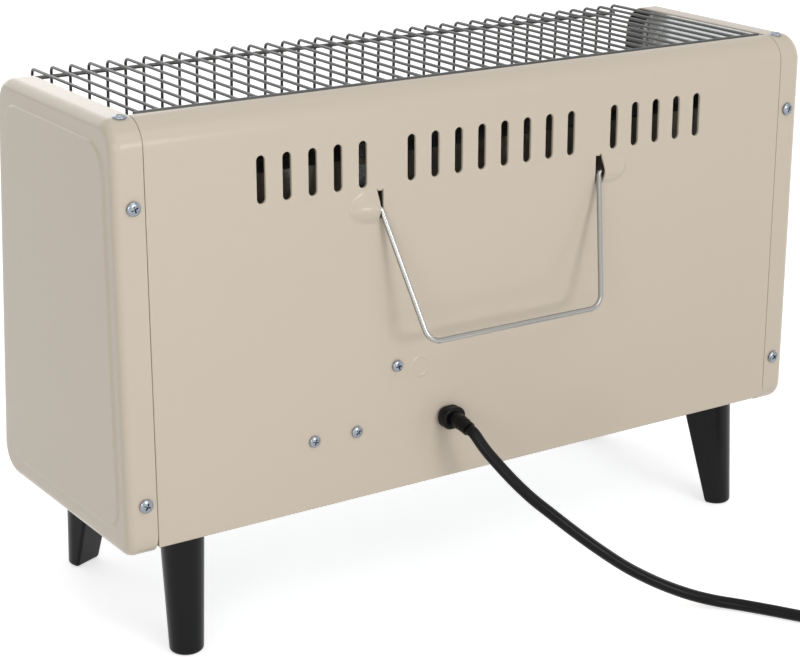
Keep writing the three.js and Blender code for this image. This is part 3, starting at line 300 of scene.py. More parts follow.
def wire(name: str, lines: list[list[Vector]], radius: float, fineness: int = 3) -> bpy.types.Object:
    """Makes round wires of one radius.

    Args:
        name: The piece's name.
        lines: Each wire's centre line in the part's frame.
        radius: The wire's radius in mm.
        fineness: The steps in a quarter of the wire's girth.

    Returns:
        A curve object with one open spline for each wire.
    """
    curve = bpy.data.curves.new(name, "CURVE")
    curve.dimensions = "3D"
    curve.bevel_depth = radius * MM
    curve.bevel_resolution = fineness
    curve.use_fill_caps = True
    for line in lines:
        spline = curve.splines.new("POLY")
        spline.points.add(len(line) - 1)
        for point, at in zip(spline.points, line):
            point.co = (*place(at), 1)
        spline.use_smooth = True
    return linked(name, curve)


def spun(profile: list[Flat], at: Vector, along: Vector, sides: int, shell: Shell) -> None:
    """Adds a turned form to a mesh.

    Args:
        profile: Pairs of radius and height; a radius of 0 closes the form.
        at: The foot of its axis.
        along: The axis's direction.
        sides: The number of sides.
        shell: The mesh that takes it.
    """
    turn = UP.rotation_difference(along.normalized())
    rings = []
    for radius, height in profile:
        angles = circle(sides) if radius else [0.0]
        ring = [at + turn @ Vector((radius * math.cos(a), radius * math.sin(a), height)) for a in angles]
        rings.append(shell.ring(ring))
    for a, b in zip(rings, rings[1:]):
        for i in range(sides):
            j = (i + 1) % sides
            face = [a[i % len(a)], a[j % len(a)], b[j % len(b)], b[i % len(b)]]
            shell.faces.append(tuple(dict.fromkeys(face)))


def section(x: float, points: list[Flat], side: float = 1.0) -> list[Vector]:
    """Returns flat points of y and z as points at one x."""
    return [Vector((side * x, y, z)) for y, z in points]


# Finishes


def linear(code: str) -> tuple[float, float, float, float]:
    """Turns an sRGB hex value into linear colour.

    Args:
        code: Six hex digits.

    Returns:
        Red, green and blue, with full alpha.
    """
    channels = (int(code[i : i + 2], 16) / 255 for i in (0, 2, 4))
    red, green, blue = (c / 12.92 if c <= 0.04045 else ((c + 0.055) / 1.055) ** 2.4 for c in channels)
    return (red, green, blue, 1.0)


def tune(node: bpy.types.Node, values: dict[str, object]) -> None:
    """Sets a node's sockets by their names."""
    for name, value in values.items():
        node.inputs[name].default_value = value


def add(
    tree: bpy.types.NodeTree, kind: str, settings: dict[str, object], links: dict[str, bpy.types.NodeSocket]
) -> bpy.types.Node:
    """Adds a shader node.

    Args:
        tree: The material's node tree.
        kind: The node's type.
        settings: Values of its properties, or of its sockets where it has no such property.
        links: The output socket that feeds each named input.

    Returns:
        The new node.
    """
    made = tree.nodes.new(kind)
    for name, value in settings.items():
        if hasattr(made, name):
            setattr(made, name, value)
        else:
            made.inputs[name].default_value = value
    for name, source in links.items():
        tree.links.new(source, made.inputs[name])
    return made


DRAWN_STRETCH = (0.05, 1.0, 1.0)
GRAIN_DETAIL = 3.0
RELIEF_SHARE = 0.1
QUARTZ_IOR = 1.46


class Relief(Enum):
    """The form of a surface's small relief."""

    RIPPLE = "ripple"
    GRAIN = "grain"
    DRAWN = "drawn"


@dataclass(frozen=True)
class Finish:
    """One finish of the heater, from its real material.

    Attributes:
        name: The material and how its surface was made.
        colour: Its sRGB hex value.
        roughness: The spread of its gloss.
        metallic: 1 for bare metal.
        relief: The form of its small relief.
        spacing: The size of that relief in mm.
        height: The relief's strength; 0 leaves the surface smooth.
        sheen: The strength of a non-metal's gloss; 0.5 is the plain one.
        clearness: The share of light that goes through.
    """

    name: str
    colour: str
    roughness: float
    metallic: float = 0.0
    relief: Relief = Relief.GRAIN
    spacing: float = 2.0
    height: float = 0.0
    sheen: float = 0.5
    clearness: float = 0.0

    def material(self) -> bpy.types.Material:
        """Returns the finish's material, made at its first use."""
        known = bpy.data.materials.get(self.name)
        if known:
            return known
        made = bpy.data.materials.new(self.name)
        made.use_nodes = True
        shader = made.node_tree.nodes["Principled BSDF"]
        gloss = {"Metallic": self.metallic, "Roughness": self.roughness, "Specular IOR Level": self.sheen}
        tune(shader, {"Base Color": linear(self.colour), **gloss})
        if self.clearness:
            tune(shader, {"IOR": QUARTZ_IOR, "Transmission Weight": self.clearness})
        if self.height:
            self.emboss(made.node_tree, shader)
        return made

    def emboss(self, tree: bpy.types.NodeTree, shader: bpy.types.Node) -> None:
        """Adds the small relief.

        Args:
            tree: The material's node tree.
            shader: Its surface shader.
        """
        where = add(tree, "ShaderNodeTexCoord", {}, {}).outputs["Object"]
        stretch = DRAWN_STRETCH if self.relief is Relief.DRAWN else (1.0, 1.0, 1.0)
        turned = add(tree, "ShaderNodeMapping", {"Scale": stretch}, {"Vector": where})
        detail = 0.0 if self.relief is Relief.RIPPLE else GRAIN_DETAIL
        noise = {"Scale": 1 / (self.spacing * MM), "Detail": detail}
        grain = add(tree, "ShaderNodeTexNoise", noise, {"Vector": turned.outputs["Vector"]})
        settings = {"Strength": self.height, "Distance": self.spacing * MM * RELIEF_SHARE}
        bump = add(tree, "ShaderNodeBump", settings, {"Height": grain.outputs["Fac"]})
        tree.links.new(bump.outputs["Normal"], shader.inputs["Normal"])


# Stoved enamel on steel sheet: thick sprayed gloss that levels into faint ripples about 9 mm apart, so that
# long reflections waver a little.
ENAMEL = Finish("cream stoved enamel", "CDC1B0", 0.22, 0.0, Relief.RIPPLE, spacing=9.0, height=0.10, sheen=0.3)
# Injection-moulded ABS with a satin skin: black with broad soft streaks of light down each leg.
LEG_ABS = Finish("satin black ABS", "06070A", 0.3, spacing=0.6, height=0.08, sheen=0.2)
# Zinc-plated steel with a blue passivate: bright, cool, slightly uneven.
ZINC = Finish("blue-white zinc plate", "8F959D", 0.22, metallic=1.0, spacing=0.5, height=0.15)
# Cold-drawn steel wire, nickel plated: bright with a dark and a light line along it.
NICKEL = Finish("nickel-plated wire", "A3A29F", 0.15, metallic=1.0)
# Drawn steel wire, dull zinc plated after welding: dark grey, soft gloss.
DULL_WIRE = Finish("dull zinc-plated wire", "565756", 0.34, metallic=1.0, spacing=0.7, height=0.2)
# Bright-rolled aluminium: a mirror with fine rolling lines along its length.
ALUMINIUM = Finish("bright-rolled aluminium", "D6D5D2", 0.16, 1.0, Relief.DRAWN, spacing=0.8, height=0.03)
# Galvanised steel sheet: grey with a soft cloudy relief.
GALVANISED = Finish("galvanised sheet", "A3A6A8", 0.42, metallic=1.0, spacing=6.0, height=0.1)
# Pre-galvanised sheet left bare inside the enamelled panels: light and bright, mirroring softly.
BARE_INSIDE = Finish("bright galvanised inside", "D4D6D6", 0.2, metallic=1.0, spacing=6.0, height=0.05)
# Steatite, pressed and fired without a glaze: chalky off-white.
STEATITE = Finish("unglazed steatite", "E2DAC8", 0.7, spacing=0.4, height=0.2)
# Iron-chromium-aluminium wire, oxidised by heat: dull brown-grey.
ELEMENT_WIRE = Finish("oxidised resistance wire", "5B5650", 0.55, metallic=1.0)
# Woven glass sleeving: off-white, threads about 0.4 mm apart.
SLEEVING = Finish("woven glass sleeving", "D8D0BE", 0.8, spacing=0.4, height=0.5)
# Moulded phenolic: black, semi-gloss.
PHENOLIC = Finish("black phenolic", "0D0D0F", 0.3, spacing=0.5, height=0.05, sheen=0.3)
# Matt moulded nylon of the switches and the tie.
NYLON = Finish("black nylon", "1A1A1B", 0.5, spacing=0.5, height=0.1)
# Extruded and moulded PVC of the lead, its bushing and the plug: black, satin.
PVC = Finish("black PVC", "060608", 0.32, spacing=0.8, height=0.06, sheen=0.16)
# White filling of the knob's line.
FILLING = Finish("white paint filling", "E9E6DE", 0.5)
# Fused quartz drawn with many fine bubbles: white, half clear, with a gloss skin.
QUARTZ = Finish("milky quartz", "F1EEE6", 0.25, clearness=0.35)


def dress(piece: bpy.types.Object, finish: Finish) -> None:
    """Gives a piece one finish all over."""
    piece.data.materials.clear()
    piece.data.materials.append(finish.material())


def fit(piece: bpy.types.Object, finish: Finish, nodes: list[str], body: str = "heater") -> None:
    """Dresses a new piece and puts it in the place of CAD nodes.

    Args:
        piece: The new piece.
        finish: Its finish.
        nodes: The CAD nodes that it stands for.
        body: The body that carries it.
    """
    dress(piece, finish)
    if nodes:
        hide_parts(*nodes)
    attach(piece, body)
    log.info("%s stands for %s", piece.name, ", ".join(nodes) or "no node")


def keep(frame: dict, names: list[str], finish: Finish, edge: float = 0.25, crease: float = 32.0) -> None:
    """Keeps CAD nodes, with eased edges and a finish.

    Args:
        frame: The loaded frame.
        names: The nodes' names.
        finish: Their finish.
        edge: The width of the eased edges in mm; 0 leaves them.
        crease: The angle in degrees above which an edge is eased and stays sharp.
    """
    for name in names:
        node = frame["nodes"][name]
        dress(node, finish)
        node.data.shade_smooth()
        node.data.set_sharp_from_angle(angle=math.radians(crease))
        if edge:
            ease = node.modifiers.new("eased edges", "BEVEL")
            ease.width = edge * MM
            ease.segments = 2
            ease.limit_method = "ANGLE"
            ease.angle_limit = math.radians(crease)
            ease.use_clamp_overlap = True
            ease.harden_normals = True
        log.info("%s keeps its own shape", name)


# The view and the light


@dataclass(frozen=True)
class Softbox:
    """A soft lamp, in metres and watts, that faces a point."""

    name: str
    at: Point
    aim: Point
    size: Flat
    power: float

    def hang(self) -> None:
        """Hangs the lamp, unseen by the camera."""
        data = bpy.data.lights.new(self.name, "AREA")
        data.shape = "RECTANGLE"
        data.size, data.size_y = self.size
        data.energy = self.power
        lamp = linked(self.name, data)
        lamp.location = self.at
        lamp.visible_camera = False
        lamp.rotation_euler = (Vector(self.at) - Vector(self.aim)).to_track_quat("Z", "Y").to_euler()


SOFTBOXES = (
    Softbox("low rear softbox", (-0.42, 2.35, 0.62), (0, 0, 0.2), (0.75, 0.5), 12.0),
    Softbox("high rear softbox", (-0.1, 1.7, 1.9), (0, 0, 0.2), (1.6, 1.2), 9.0),
    Softbox("overhead softbox", (0.1, -0.45, 2.1), (0, 0, 0.2), (2.6, 1.8), 6.5),
    Softbox("side softbox", (1.1, 1.15, 0.45), (0.15, 0, 0.15), (0.7, 0.6), 4.2),
    Softbox("front softbox", (0.2, -2.3, 1.2), (0, 0, 0.15), (2.6, 1.8), 15.0),
    Softbox("left softbox", (-2.4, -0.2, 0.8), (0, 0, 0.15), (2.0, 1.2), 8.0),
)


@dataclass
class Studio:
    """The camera as the photograph has it, soft lamps and a pale floor."""

    focal: float = 2016.3
    frame_width: float = 800.0
    frame_height: float = 657.0
    centre: Flat = (430.3, 311.1)
    yaw: float = 33.571
    pitch: float = 17.852
    roll: float = 0.220
    at: Point = (655.4, 922.4, 534.3)
    sensor: float = 36.0
    far: float = 20.0
    fill: float = 0.42
    floor_reach: float = 6.0
    floor_tone: float = 0.8
    floor_glow: float = 0.6

    def camera(self) -> None:
        """Places the camera."""
        yaw, pitch, roll = (math.radians(a) for a in (self.yaw, self.pitch, self.roll))
        back = Vector((math.sin(yaw) * math.cos(pitch), math.cos(yaw) * math.cos(pitch), math.sin(pitch)))
        right = UP.cross(back).normalized()
        up = back.cross(right)
        across = right * math.cos(roll) + up * math.sin(roll)
        upward = up * math.cos(roll) - right * math.sin(roll)
        data = bpy.data.cameras.new("camera")
        data.sensor_width = self.sensor
        data.lens = self.focal / self.frame_width * self.sensor
        data.shift_x = 0.5 - self.centre[0] / self.frame_width
        data.shift_y = (self.centre[1] - self.frame_height / 2) / self.frame_width
        data.clip_end = self.far
        camera = linked("camera", data)
        turn = Matrix((across, upward, back)).transposed().to_4x4()
        camera.matrix_world = Matrix.Translation(place(self.at)) @ turn
        bpy.context.scene.camera = camera

    def whiten(self, tree: bpy.types.NodeTree, socket: bpy.types.NodeSocket, span: Flat) -> None:
        """Feeds a socket its higher value for the rays that see the background: of camera, glass and gloss.

        Args:
            tree: The node tree.
            socket: The socket.
            span: Its value for all other rays, then for these.
        """
        path = add(tree, "ShaderNodeLightPath", {}, {})
        seen = path.outputs["Is Camera Ray"]
        for ray in ("Is Transmission Ray", "Is Glossy Ray"):
            either = add(tree, "ShaderNodeMath", {"operation": "MAXIMUM"}, {})
            tree.links.new(seen, either.inputs[0])
            tree.links.new(path.outputs[ray], either.inputs[1])
            seen = either.outputs[0]
        value = add(tree, "ShaderNodeMapRange", {"To Min": span[0], "To Max": span[1]}, {"Value": seen})
        tree.links.new(value.outputs["Result"], socket)

    def surroundings(self) -> None:
        """Makes the world: a plain pale light, white where it is seen."""
        world = bpy.data.worlds.new("studio")
        bpy.context.scene.world = world
        world.use_nodes = True
        shader = world.node_tree.nodes["Background"]
        shader.inputs["Color"].default_value = (1, 1, 1, 1)
        self.whiten(world.node_tree, shader.inputs["Strength"], (self.fill, 1.0))

    def floor(self) -> None:
        """Lays a pale floor that is white to the lens and keeps the heater's shadow."""
        mesh = bpy.data.meshes.new("floor")
        corners = [(x, y, 0) for x, y in rectangle(self.floor_reach, self.floor_reach)]
        mesh.from_pydata(corners, [], [(0, 1, 2, 3)])
        floor = linked("floor", mesh)
        material = bpy.data.materials.new("pale floor")
        material.use_nodes = True
        shader = material.node_tree.nodes["Principled BSDF"]
        tone = self.floor_tone
        tune(shader, {"Base Color": (tone, tone, tone, 1), "Roughness": 0.8})
        tune(shader, {"Specular IOR Level": 0.0, "Emission Color": (1, 1, 1, 1)})
        self.whiten(material.node_tree, shader.inputs["Emission Strength"], (0.0, self.floor_glow))
        mesh.materials.append(material)

    def build(self) -> None:
        """Sets up the lamps, the world and the floor."""
        for softbox in SOFTBOXES:
            softbox.hang()
        self.surroundings()
        self.floor()
        bpy.context.scene.view_settings.view_transform = "Standard"


# The mains lead


@dataclass
class MainsLead:
    """The lead from its bushing to its plug, one curve with its coil.

    The straights are in lead radii: out of the sleeve, on the floor before the coil, from there to the coil's
    start, up from the coil's end and into the plug.
    """

    radius: float = 3.5
    length: float = 1500.0
    slack: float = 2.0
    gland: Point = (30.9, 0.0, 111.4)
    bushing_half: Flat = (7.65, 6.5)
    bushing_corner: float = 5.46
    bushing_levels: tuple[Flat, ...] = (
        (0.3, 0.9), (0.8, 0.5), (1.5, 0.1), (2.6, 0.0), (3.0, 0.35), (3.9, 0.35), (4.3, 0.0), (7.2, 0.0),
        (7.9, 0.25), (8.3, 0.8), (8.4, 1.6),
    )
    sleeve_steps: tuple[Point, ...] = ((0, 7.4, 0), (0, 13, -0.2), (-0.2, 18, -1.1), (-0.6, 22, -2.3))
    sleeve_radii: tuple[float, ...] = (4.9, 4.7, 4.4, 4.2)
    sleeve_sides: int = 24
    groove: float = 0.3
    line_steps: int = 6
    plan: tuple[Flat, ...] = (
        (26.6, 33), (21.8, 40), (15.8, 48), (8.2, 55.5), (-1.2, 62.8), (-12, 70), (-25.2, 78),
        (-40.5, 85.5), (-57.3, 93), (-73, 101), (-86, 110), (-97, 122), (-107, 137), (-117, 153),
    )
    fall: tuple[float, ...] = (
        0.91, 0.829, 0.74, 0.649, 0.558, 0.457, 0.343, 0.226, 0.124, 0.05, 0.01, 0, 0, 0,
    )
    sleeve_straight: float = 1.4
    floor_straight: float = 3.0
    coil_straight: float = 2.0
    rise_straight: float = 7.0
    plug_straight: float = 2.0
    lying: float = 3.6
    coil_from: Flat = (-152.0, 206.0)
    coil_start: float = 33.0
    coil_radius: float = 36.9
    turns: float = 5.04
    pitch: float = 7.6
    loop_steps: int = 24
    climb: float = 0.5
    lift: float = 1.2
    plug_height: float = 14.8

    def coil_line(self) -> list[Vector]:
        """Returns the coil's centre line: in on the floor, up a layer and out again on top."""
        start = math.radians(self.coil_start)
        outer = self.coil_radius + self.pitch * self.turns / 4
        middle_x = self.coil_from[0] - outer * math.cos(start)
        middle_y = self.coil_from[1] - outer * math.sin(start)
        half = self.turns / 2
        inner = outer - self.pitch * half
        line = []
        for k in range(round(self.turns * self.loop_steps) + 1):
            turn = k / self.loop_steps
            t = min(max((turn - half + self.climb / 2) / self.climb, 0), 1)
            layer = t * t * (3 - 2 * t)
            radius = inner + self.pitch * abs(turn - half)
            angle = start + 2 * math.pi * turn
            x, y = middle_x + radius * math.cos(angle), middle_y + radius * math.sin(angle)
            line.append(Vector((x, y, self.radius + self.lift + self.pitch * layer)))
        return line

    def route(self) -> list[Vector]:
        """Returns the lead's whole centre line from the sleeve to the plug."""
        base = Vector(self.gland)
        sleeve = [base + Vector(step) for step in self.sleeve_steps]
        way = (sleeve[-1] - sleeve[-2]).normalized()
        over = sleeve[-1].z - self.lying
        free = [Vector((x, y, self.lying + over * f)) for (x, y), f in zip(self.plan, self.fall)]
        turns = self.coil_line()
        start_way = turns[1] - turns[0]
        end_way = turns[-1] - turns[-2]
        start_way.z = end_way.z = 0
        start_way.normalize()
        end_way.normalize()
        foot = turns[0] - start_way * self.radius * self.coil_straight
        rise = turns[-1] + end_way * self.radius * self.rise_straight
        rise.z = self.plug_height
        out = sleeve[-1] + way * self.radius * self.sleeve_straight
        before = foot - start_way * self.radius * self.floor_straight
        run = smooth_line([sleeve[-1], out, *free, before, foot], self.line_steps)
        last = rise + end_way * self.radius * self.plug_straight
        tail = smooth_line([turns[-2], turns[-1], rise, last], self.line_steps)[self.line_steps :]
        return run[:-1] + [foot] + turns[:-1] + tail

    def bushing(self) -> None:
        """Builds the barrel-shaped bushing with its tapered, grooved sleeve."""
        shell = Shell()
        x, _, z = self.gland

        def ring(y: float, inset: float) -> list[Vector]:
            """Returns the bushing's outline.

            Args:
                y: Its place out of the panel.
                inset: The distance that it is drawn in by.

            Returns:
                The outline's points.
            """
            corners = rectangle(*(half - inset for half in self.bushing_half))
            outline = rounded(corners, [self.bushing_corner - inset] * 4, CORNER_STEPS)
            return [Vector((x + u, y, z + v)) for u, v in outline]

        shell.loft([ring(y, inset) for y, inset in self.bushing_levels], caps=(True, True))
        base = Vector(self.gland)
        line = smooth_line([base + Vector(step) for step in self.sleeve_steps], self.line_steps)
        last, radii = len(line) - 1, self.sleeve_radii
        rings = []
        for i, at in enumerate(line):
            ahead = line[min(i + 1, last)] - line[max(i - 1, 0)]
            turn = REAR.rotation_difference(ahead.normalized())
            share = i / last * (len(radii) - 1)
            low = min(int(share), len(radii) - 2)
            radius = radii[low] + (radii[low + 1] - radii[low]) * (share - low)
            radius -= self.groove if i % 4 == 2 and 2 < i < last - 1 else 0.0
            flat = [Vector((radius * math.sin(a), 0, radius * math.cos(a))) for a in circle(self.sleeve_sides)]
            rings.append([at + turn @ p for p in flat])
        shell.loft(rings, caps=(True, True))
        fit(shell.piece("lead_bushing", flip=True), PVC, ["strain_relief"])

    def build(self, frame: dict) -> None:
        """Builds the lead, its tie, its plug and its bushing.

        Args:
            frame: The loaded frame.
        """
        line = self.route()
        total = sum((b - a).length for a, b in zip(line, line[1:]))
        spare = self.length - total
        line[-1] = line[-1] + (line[-1] - line[-2]).normalized() * max(min(spare, self.slack), -self.slack)
        log.info("lead measures %.1f mm", total)
        cable = wire("mains_lead", [line], self.radius, 4)
        fit(cable, PVC, ["cord_run", "cord_coil"])
        keep(frame, ["plug"], PVC, edge=1.2, crease=30)
        keep(frame, ["cord_tie"], NYLON, edge=0.15)
        self.bushing()


# The body


def side_outline(rear: float, rest: float, radii: list[float], steps: int) -> list[Flat]:
    """Returns the heater's side outline, set in by distances.

    Args:
        rear: The distance at the rear.
        rest: The distance on the other edges.
        radii: The corners' radii.
        steps: The number of steps round each corner.

    Returns:
        Points of y and z.
    """
    front_0 = front_at(0) + rest * math.hypot(1, FRONT_SLOPE)
    foot_0 = FOOT_REAR + rest * math.hypot(1, FOOT_SLOPE)
    toe = (front_0 + foot_0 * FRONT_SLOPE) / (1 - FRONT_SLOPE * FOOT_SLOPE)
    high = HEIGHT - rest
    upper = [(-rear, high), (front_0 + high * FRONT_SLOPE, high)]
    lower = [(toe, foot_0 + toe * FOOT_SLOPE), (-rear, foot_0 - rear * FOOT_SLOPE)]
    return rounded(upper + lower, radii, steps)


@dataclass
class EndPanel:
    """A pressed end panel: flanged all round, with a field that stands proud.

    The slope is the field's shoulder, as shares of its width and of its rise, from the field down. The hem is
    the flange's edge, as distances out from the seam and in from the panel's outline.
    """

    word: str
    side: float
    bend: float = 6.0
    rise: float = 1.0
    border: float = 12.0
    rear_border: float = 11.0
    corner: float = 17.0
    shoulder: float = 2.4
    slope: tuple[Flat, ...] = (
        (1.0, 1.0), (0.82, 0.97), (0.66, 0.86), (0.5, 0.5), (0.34, 0.14), (0.18, 0.03), (0.0, 0.0),
    )
    skirt: float = 1.0
    hem: tuple[Flat, ...] = ((0.5, 0.0), (0.15, 0.12), (0.0, 0.5))
    least_corner: float = 1.0
    steps: int = 12
    outer_steps: int = 8
    inner_steps: int = 5

    def even(self, x: float, inset: float) -> list[Vector]:
        """Returns the outline at an x, set in evenly."""
        radii = [max(r - inset, self.least_corner) for r in CORNERS]
        return section(x, side_outline(inset, inset, radii, self.steps), self.side)

    def raised(self, x: float, extra: float) -> list[Vector]:
        """Returns the field's outline at an x."""
        rear, rest, radii = self.rear_border + extra, self.border + extra, [self.corner - extra] * 4
        return section(x, side_outline(rear, rest, radii, self.steps), self.side)

    def bends(self, radius: float, steps: int) -> list[list[Vector]]:
        """Returns the rings round the panel's edge bend.

        Args:
            radius: The bend's radius.
            steps: The number of steps round it.

        Returns:
            The rings' points.
        """
        middle = HALF - self.rise - self.bend
        turns = [(radius * math.cos(a), radius * math.sin(a)) for a in arc(steps)]
        return [self.even(middle + along, self.bend - outward) for along, outward in turns]

    def build(self) -> None:
        """Builds the panel with its sheet thickness, enamelled outside and bare inside."""
        web = HALF - self.rise
        shell = Shell()
        rings = [self.raised(web + self.rise * up, self.shoulder * inward) for inward, up in self.slope]
        rings += [self.raised(web, -self.skirt), *self.bends(self.bend, self.outer_steps)]
        rings += [self.even(SEAM + out, inset) for out, inset in self.hem]
        inside = sum(len(ring) for ring in rings)
        rings += [self.even(SEAM, SHEET), *reversed(self.bends(self.bend - SHEET, self.inner_steps))]
        rings += [self.raised(web - SHEET, 0), self.raised(HALF - SHEET, self.shoulder)]
        shell.loft(rings, caps=(True, True))
        panel = shell.piece(f"end_cover_{self.word}", flip=self.side > 0)
        fit(panel, ENAMEL, [f"end_panel_{self.word}"])
        panel.data.materials.append(BARE_INSIDE.material())
        for face in panel.data.polygons:
            if min(face.vertices) >= inside:
                face.material_index = 1


@dataclass
class RearPanel:
    """The rear panel: one sheet with slots, pockets and a pressed ring, rolled over at the top.

    The hem at the side edges is pairs of a distance in and a depth, a slot's rim pairs of a distance out and a
    height, and the ring pairs of a radius and a height. The dome is pairs of a height and a place up from the
    bail's axis. A lug is its foot, its tip and how far it stands proud.
    """

    edge: float = SEAM - FIT
    hem: tuple[Flat, ...] = ((0.4, 0.0), (0.12, 0.12), (0.0, 0.4), (0.0, 1.0))
    fold: float = 1.0
    fold_steps: int = 4
    bend: float = 15.5
    bend_steps: int = 14
    lip_y: float = 16.5
    lip_drop: float = 8.0
    slot_top: float = 283.5
    slot_width: float = 5.0
    slot_height: float = 26.3
    slot_pitch: float = 16.0
    slot_places: tuple[float, ...] = (0.5, 1.5, 2.5, 3.5, 5.5, 6.5, 7.5, 8.5, 9.5)
    slot_rim: tuple[Flat, ...] = ((0.6, 0.0), (0.42, -0.04), (0.25, -0.18), (0.18, -0.45), (0.18, -1.6))
    slot_round: float = 0.999
    mark: Flat = (50.0, 145.4)
    mark_sides: int = 32
    mark_profile: tuple[Flat, ...] = (
        (7.1, 0.0), (6.5, 0.12), (6.1, 0.34), (5.7, 0.45), (5.3, 0.34), (4.9, 0.12), (4.4, 0.0),
    )
    pocket_edge: float = 74.8
    pocket_rim: float = 79.1
    dome_start: float = 83.0
    dome_length: float = 14.5
    dome_angles: tuple[float, ...] = (0, 10, 20, 30, 40, 50, 58, 66, 74, 81, 86)
    dome_fall: float = 1.5
    apron: float = 2.2
    dome: tuple[Flat, ...] = (
        (0, -7.6), (1.7, -6.6), (2.8, -4.3), (4.3, -0.9), (4.4, 0.7), (3.5, 3.2), (1.9, 6.6), (0.4, 9.5),
        (0, 10.5),
    )
    crown_steps: int = 4
    dome_steps: int = 28
    soft_share: float = 0.75
    soft_steps: int = 5
    wall_sink: float = 0.9
    wall_middle: float = 1.45
    wall_share: float = 0.87
    wall_depth: float = 5.0
    mouth_depth: float = 1.6
    lug_forms: tuple[Point, ...] = ((-9.1, -6.0, 0.2), (12.0, 9.6, -0.3))
    lug_spans: tuple[float, ...] = (75.3, 75.6, 78.0, 78.3)
    lug_run: float = 1.5
    lug_ease: float = 0.3

    def profile(self) -> list[tuple[float, float, float, float]]:
        """Returns the panel's section from its foot over the bend to the lip.

        Returns:
            Each point's y and z, and the y and z of the way out of the sheet there.
        """
        fold = self.fold
        rows = []
        for a in arc(self.fold_steps):
            y, z = fold * math.sin(a) - fold, BASE + fold - fold * math.cos(a)
            rows.append((y, z, math.sin(a), -math.cos(a)))
        for a in arc(self.bend_steps):
            y, z = self.bend * (math.cos(a) - 1), HEIGHT - self.bend + self.bend * math.sin(a)
            rows.append((y, z, math.cos(a), math.sin(a)))
        for a in arc(self.fold_steps)[1:]:
            y, z = -self.bend - fold * math.sin(a), HEIGHT - fold + fold * math.cos(a)
            rows.append((y, z, -math.sin(a), math.cos(a)))
        return rows + [(-self.lip_y, HEIGHT - self.lip_drop, -1.0, 0.0)]

    def slots(self, shell: Shell) -> list[list[int]]:
        """Adds the slots' rounded rims.

        Args:
            shell: The panel's mesh.

        Returns:
            Their outer loops.
        """
        loops = []
        middle = self.slot_top - self.slot_height / 2
        for step in self.slot_places:
            for _, side in SIDES:
                rings = []
                for grow, y in self.slot_rim:
                    half, reach = self.slot_width / 2 + grow, self.slot_height / 2 + grow
                    corners = rectangle(half, reach, (side * step * self.slot_pitch, middle))
                    outline = rounded(corners, [half * self.slot_round] * 4, CORNER_STEPS)
                    rings.append([Vector((u, y, v)) for u, v in outline])
                loops.append(shell.loft(rings)[0])
        return loops

    def ring_mark(self, shell: Shell) -> list[int]:
        """Adds the pressed ring beside the earth screw.

        Args:
            shell: The panel's mesh.

        Returns:
            Its outer loop.
        """
        x, z = self.mark
        angles = circle(self.mark_sides)
        rings = []
        for radius, y in self.mark_profile:
            rings.append([Vector((x + radius * math.cos(a), y, z + radius * math.sin(a))) for a in angles])
        return shell.loft(rings, caps=(False, True))[0]

    def soft_dome(self) -> list[Flat]:
        """Returns the dome's section with soft feet: the drawn sheet leaves the panel without an edge."""
        low, high = self.dome[0][1], self.dome[-1][1]
        crown = [(p.x, p.y) for p in smooth_line([Vector((y, z, 0)) for y, z in self.dome], self.crown_steps)]

        def height(z: float) -> float:
            """Returns the dome's height before it is softened.

            Args:
                z: The place up the dome, from the bail's axis.

            Returns:
                Its height over the panel.
            """
            for (y0, z0), (y1, z1) in zip(crown, crown[1:]):
                if z0 <= z <= z1 and z1 > z0:
                    return y0 + (y1 - y0) * (z - z0) / (z1 - z0)
            return 0.0

        count, reach, steps = self.dome_steps, self.apron * self.soft_share, self.soft_steps
        line = []
        for k in range(count + 1):
            z = low - self.apron + (high - low + 2 * self.apron) * k / count
            near = [height(z + reach * j / steps) for j in range(-steps, steps + 1)]
            line.append((sum(near) / len(near) if 0 < k < count else 0.0, z))
        return line

    def pocket(self, shell: Shell, side: float) -> list[int]:
        """Adds a pocket's dome and its opening.

        Args:
            shell: The panel's mesh.
            side: 1 on the right, -1 on the left.

        Returns:
            The loop that bounds the pocket on the panel's face.
        """
        low, high = self.dome[0][1], self.dome[-1][1]
        line = self.soft_dome()
        stations = [(self.pocket_rim, 0.0)]
        for a in (math.radians(angle) for angle in self.dome_angles):
            stations.append((self.dome_start + self.dome_length * math.sin(a), a))
        rings = []
        for x, a in stations:
            ring = []
            for y, z in line:
                core = min(max(z, low), high)
                up = AXIS_Z + core * math.cos(a) + z - core
                ring.append(Vector((side * x, y * math.cos(a) ** self.dome_fall, up)))
            rings.append(ring)
        made = shell.loft(rings, closed=False)
        last = rings[-1]
        tip = []
        for i, p in enumerate(last):
            turn = math.pi * (i / (len(last) - 1) - 0.5)
            tip.append(Vector((p.x + side * self.apron * math.cos(turn), 0, p.z)))
        end = [made[-1][0], *shell.ring(tip[1:-1]), made[-1][-1]]
        shell.bridge(made[-1], end, closed=False)
        middle, share = self.wall_middle, self.wall_share
        heights = [(y - self.wall_sink, AXIS_Z + middle + (z - middle) * share) for y, z in line[1:-1]]
        wall = [Vector((side * self.pocket_rim, y, z)) for y, z in heights]
        inner, back = shell.ring(wall), shell.ring([p + RIGHT * side * self.wall_depth for p in wall])
        shell.bridge(made[0][1:-1], inner, closed=False)
        shell.bridge(inner, back, closed=False)
        rim, edge = self.pocket_rim, self.pocket_edge
        corners = ((rim, low), (edge, low), (edge, high), (rim, high))
        mouth = [Vector((side * x, 0, AXIS_Z + z)) for x, z in corners]
        front = shell.ring(mouth)
        shell.bridge(front, shell.ring([p - REAR * self.mouth_depth for p in mouth]), closed=False)
        lower, upper = [ring[0] for ring in made], [ring[-1] for ring in made]
        return [front[1], front[0], *lower, *end[1:-1], *reversed(upper), front[3], front[2]]

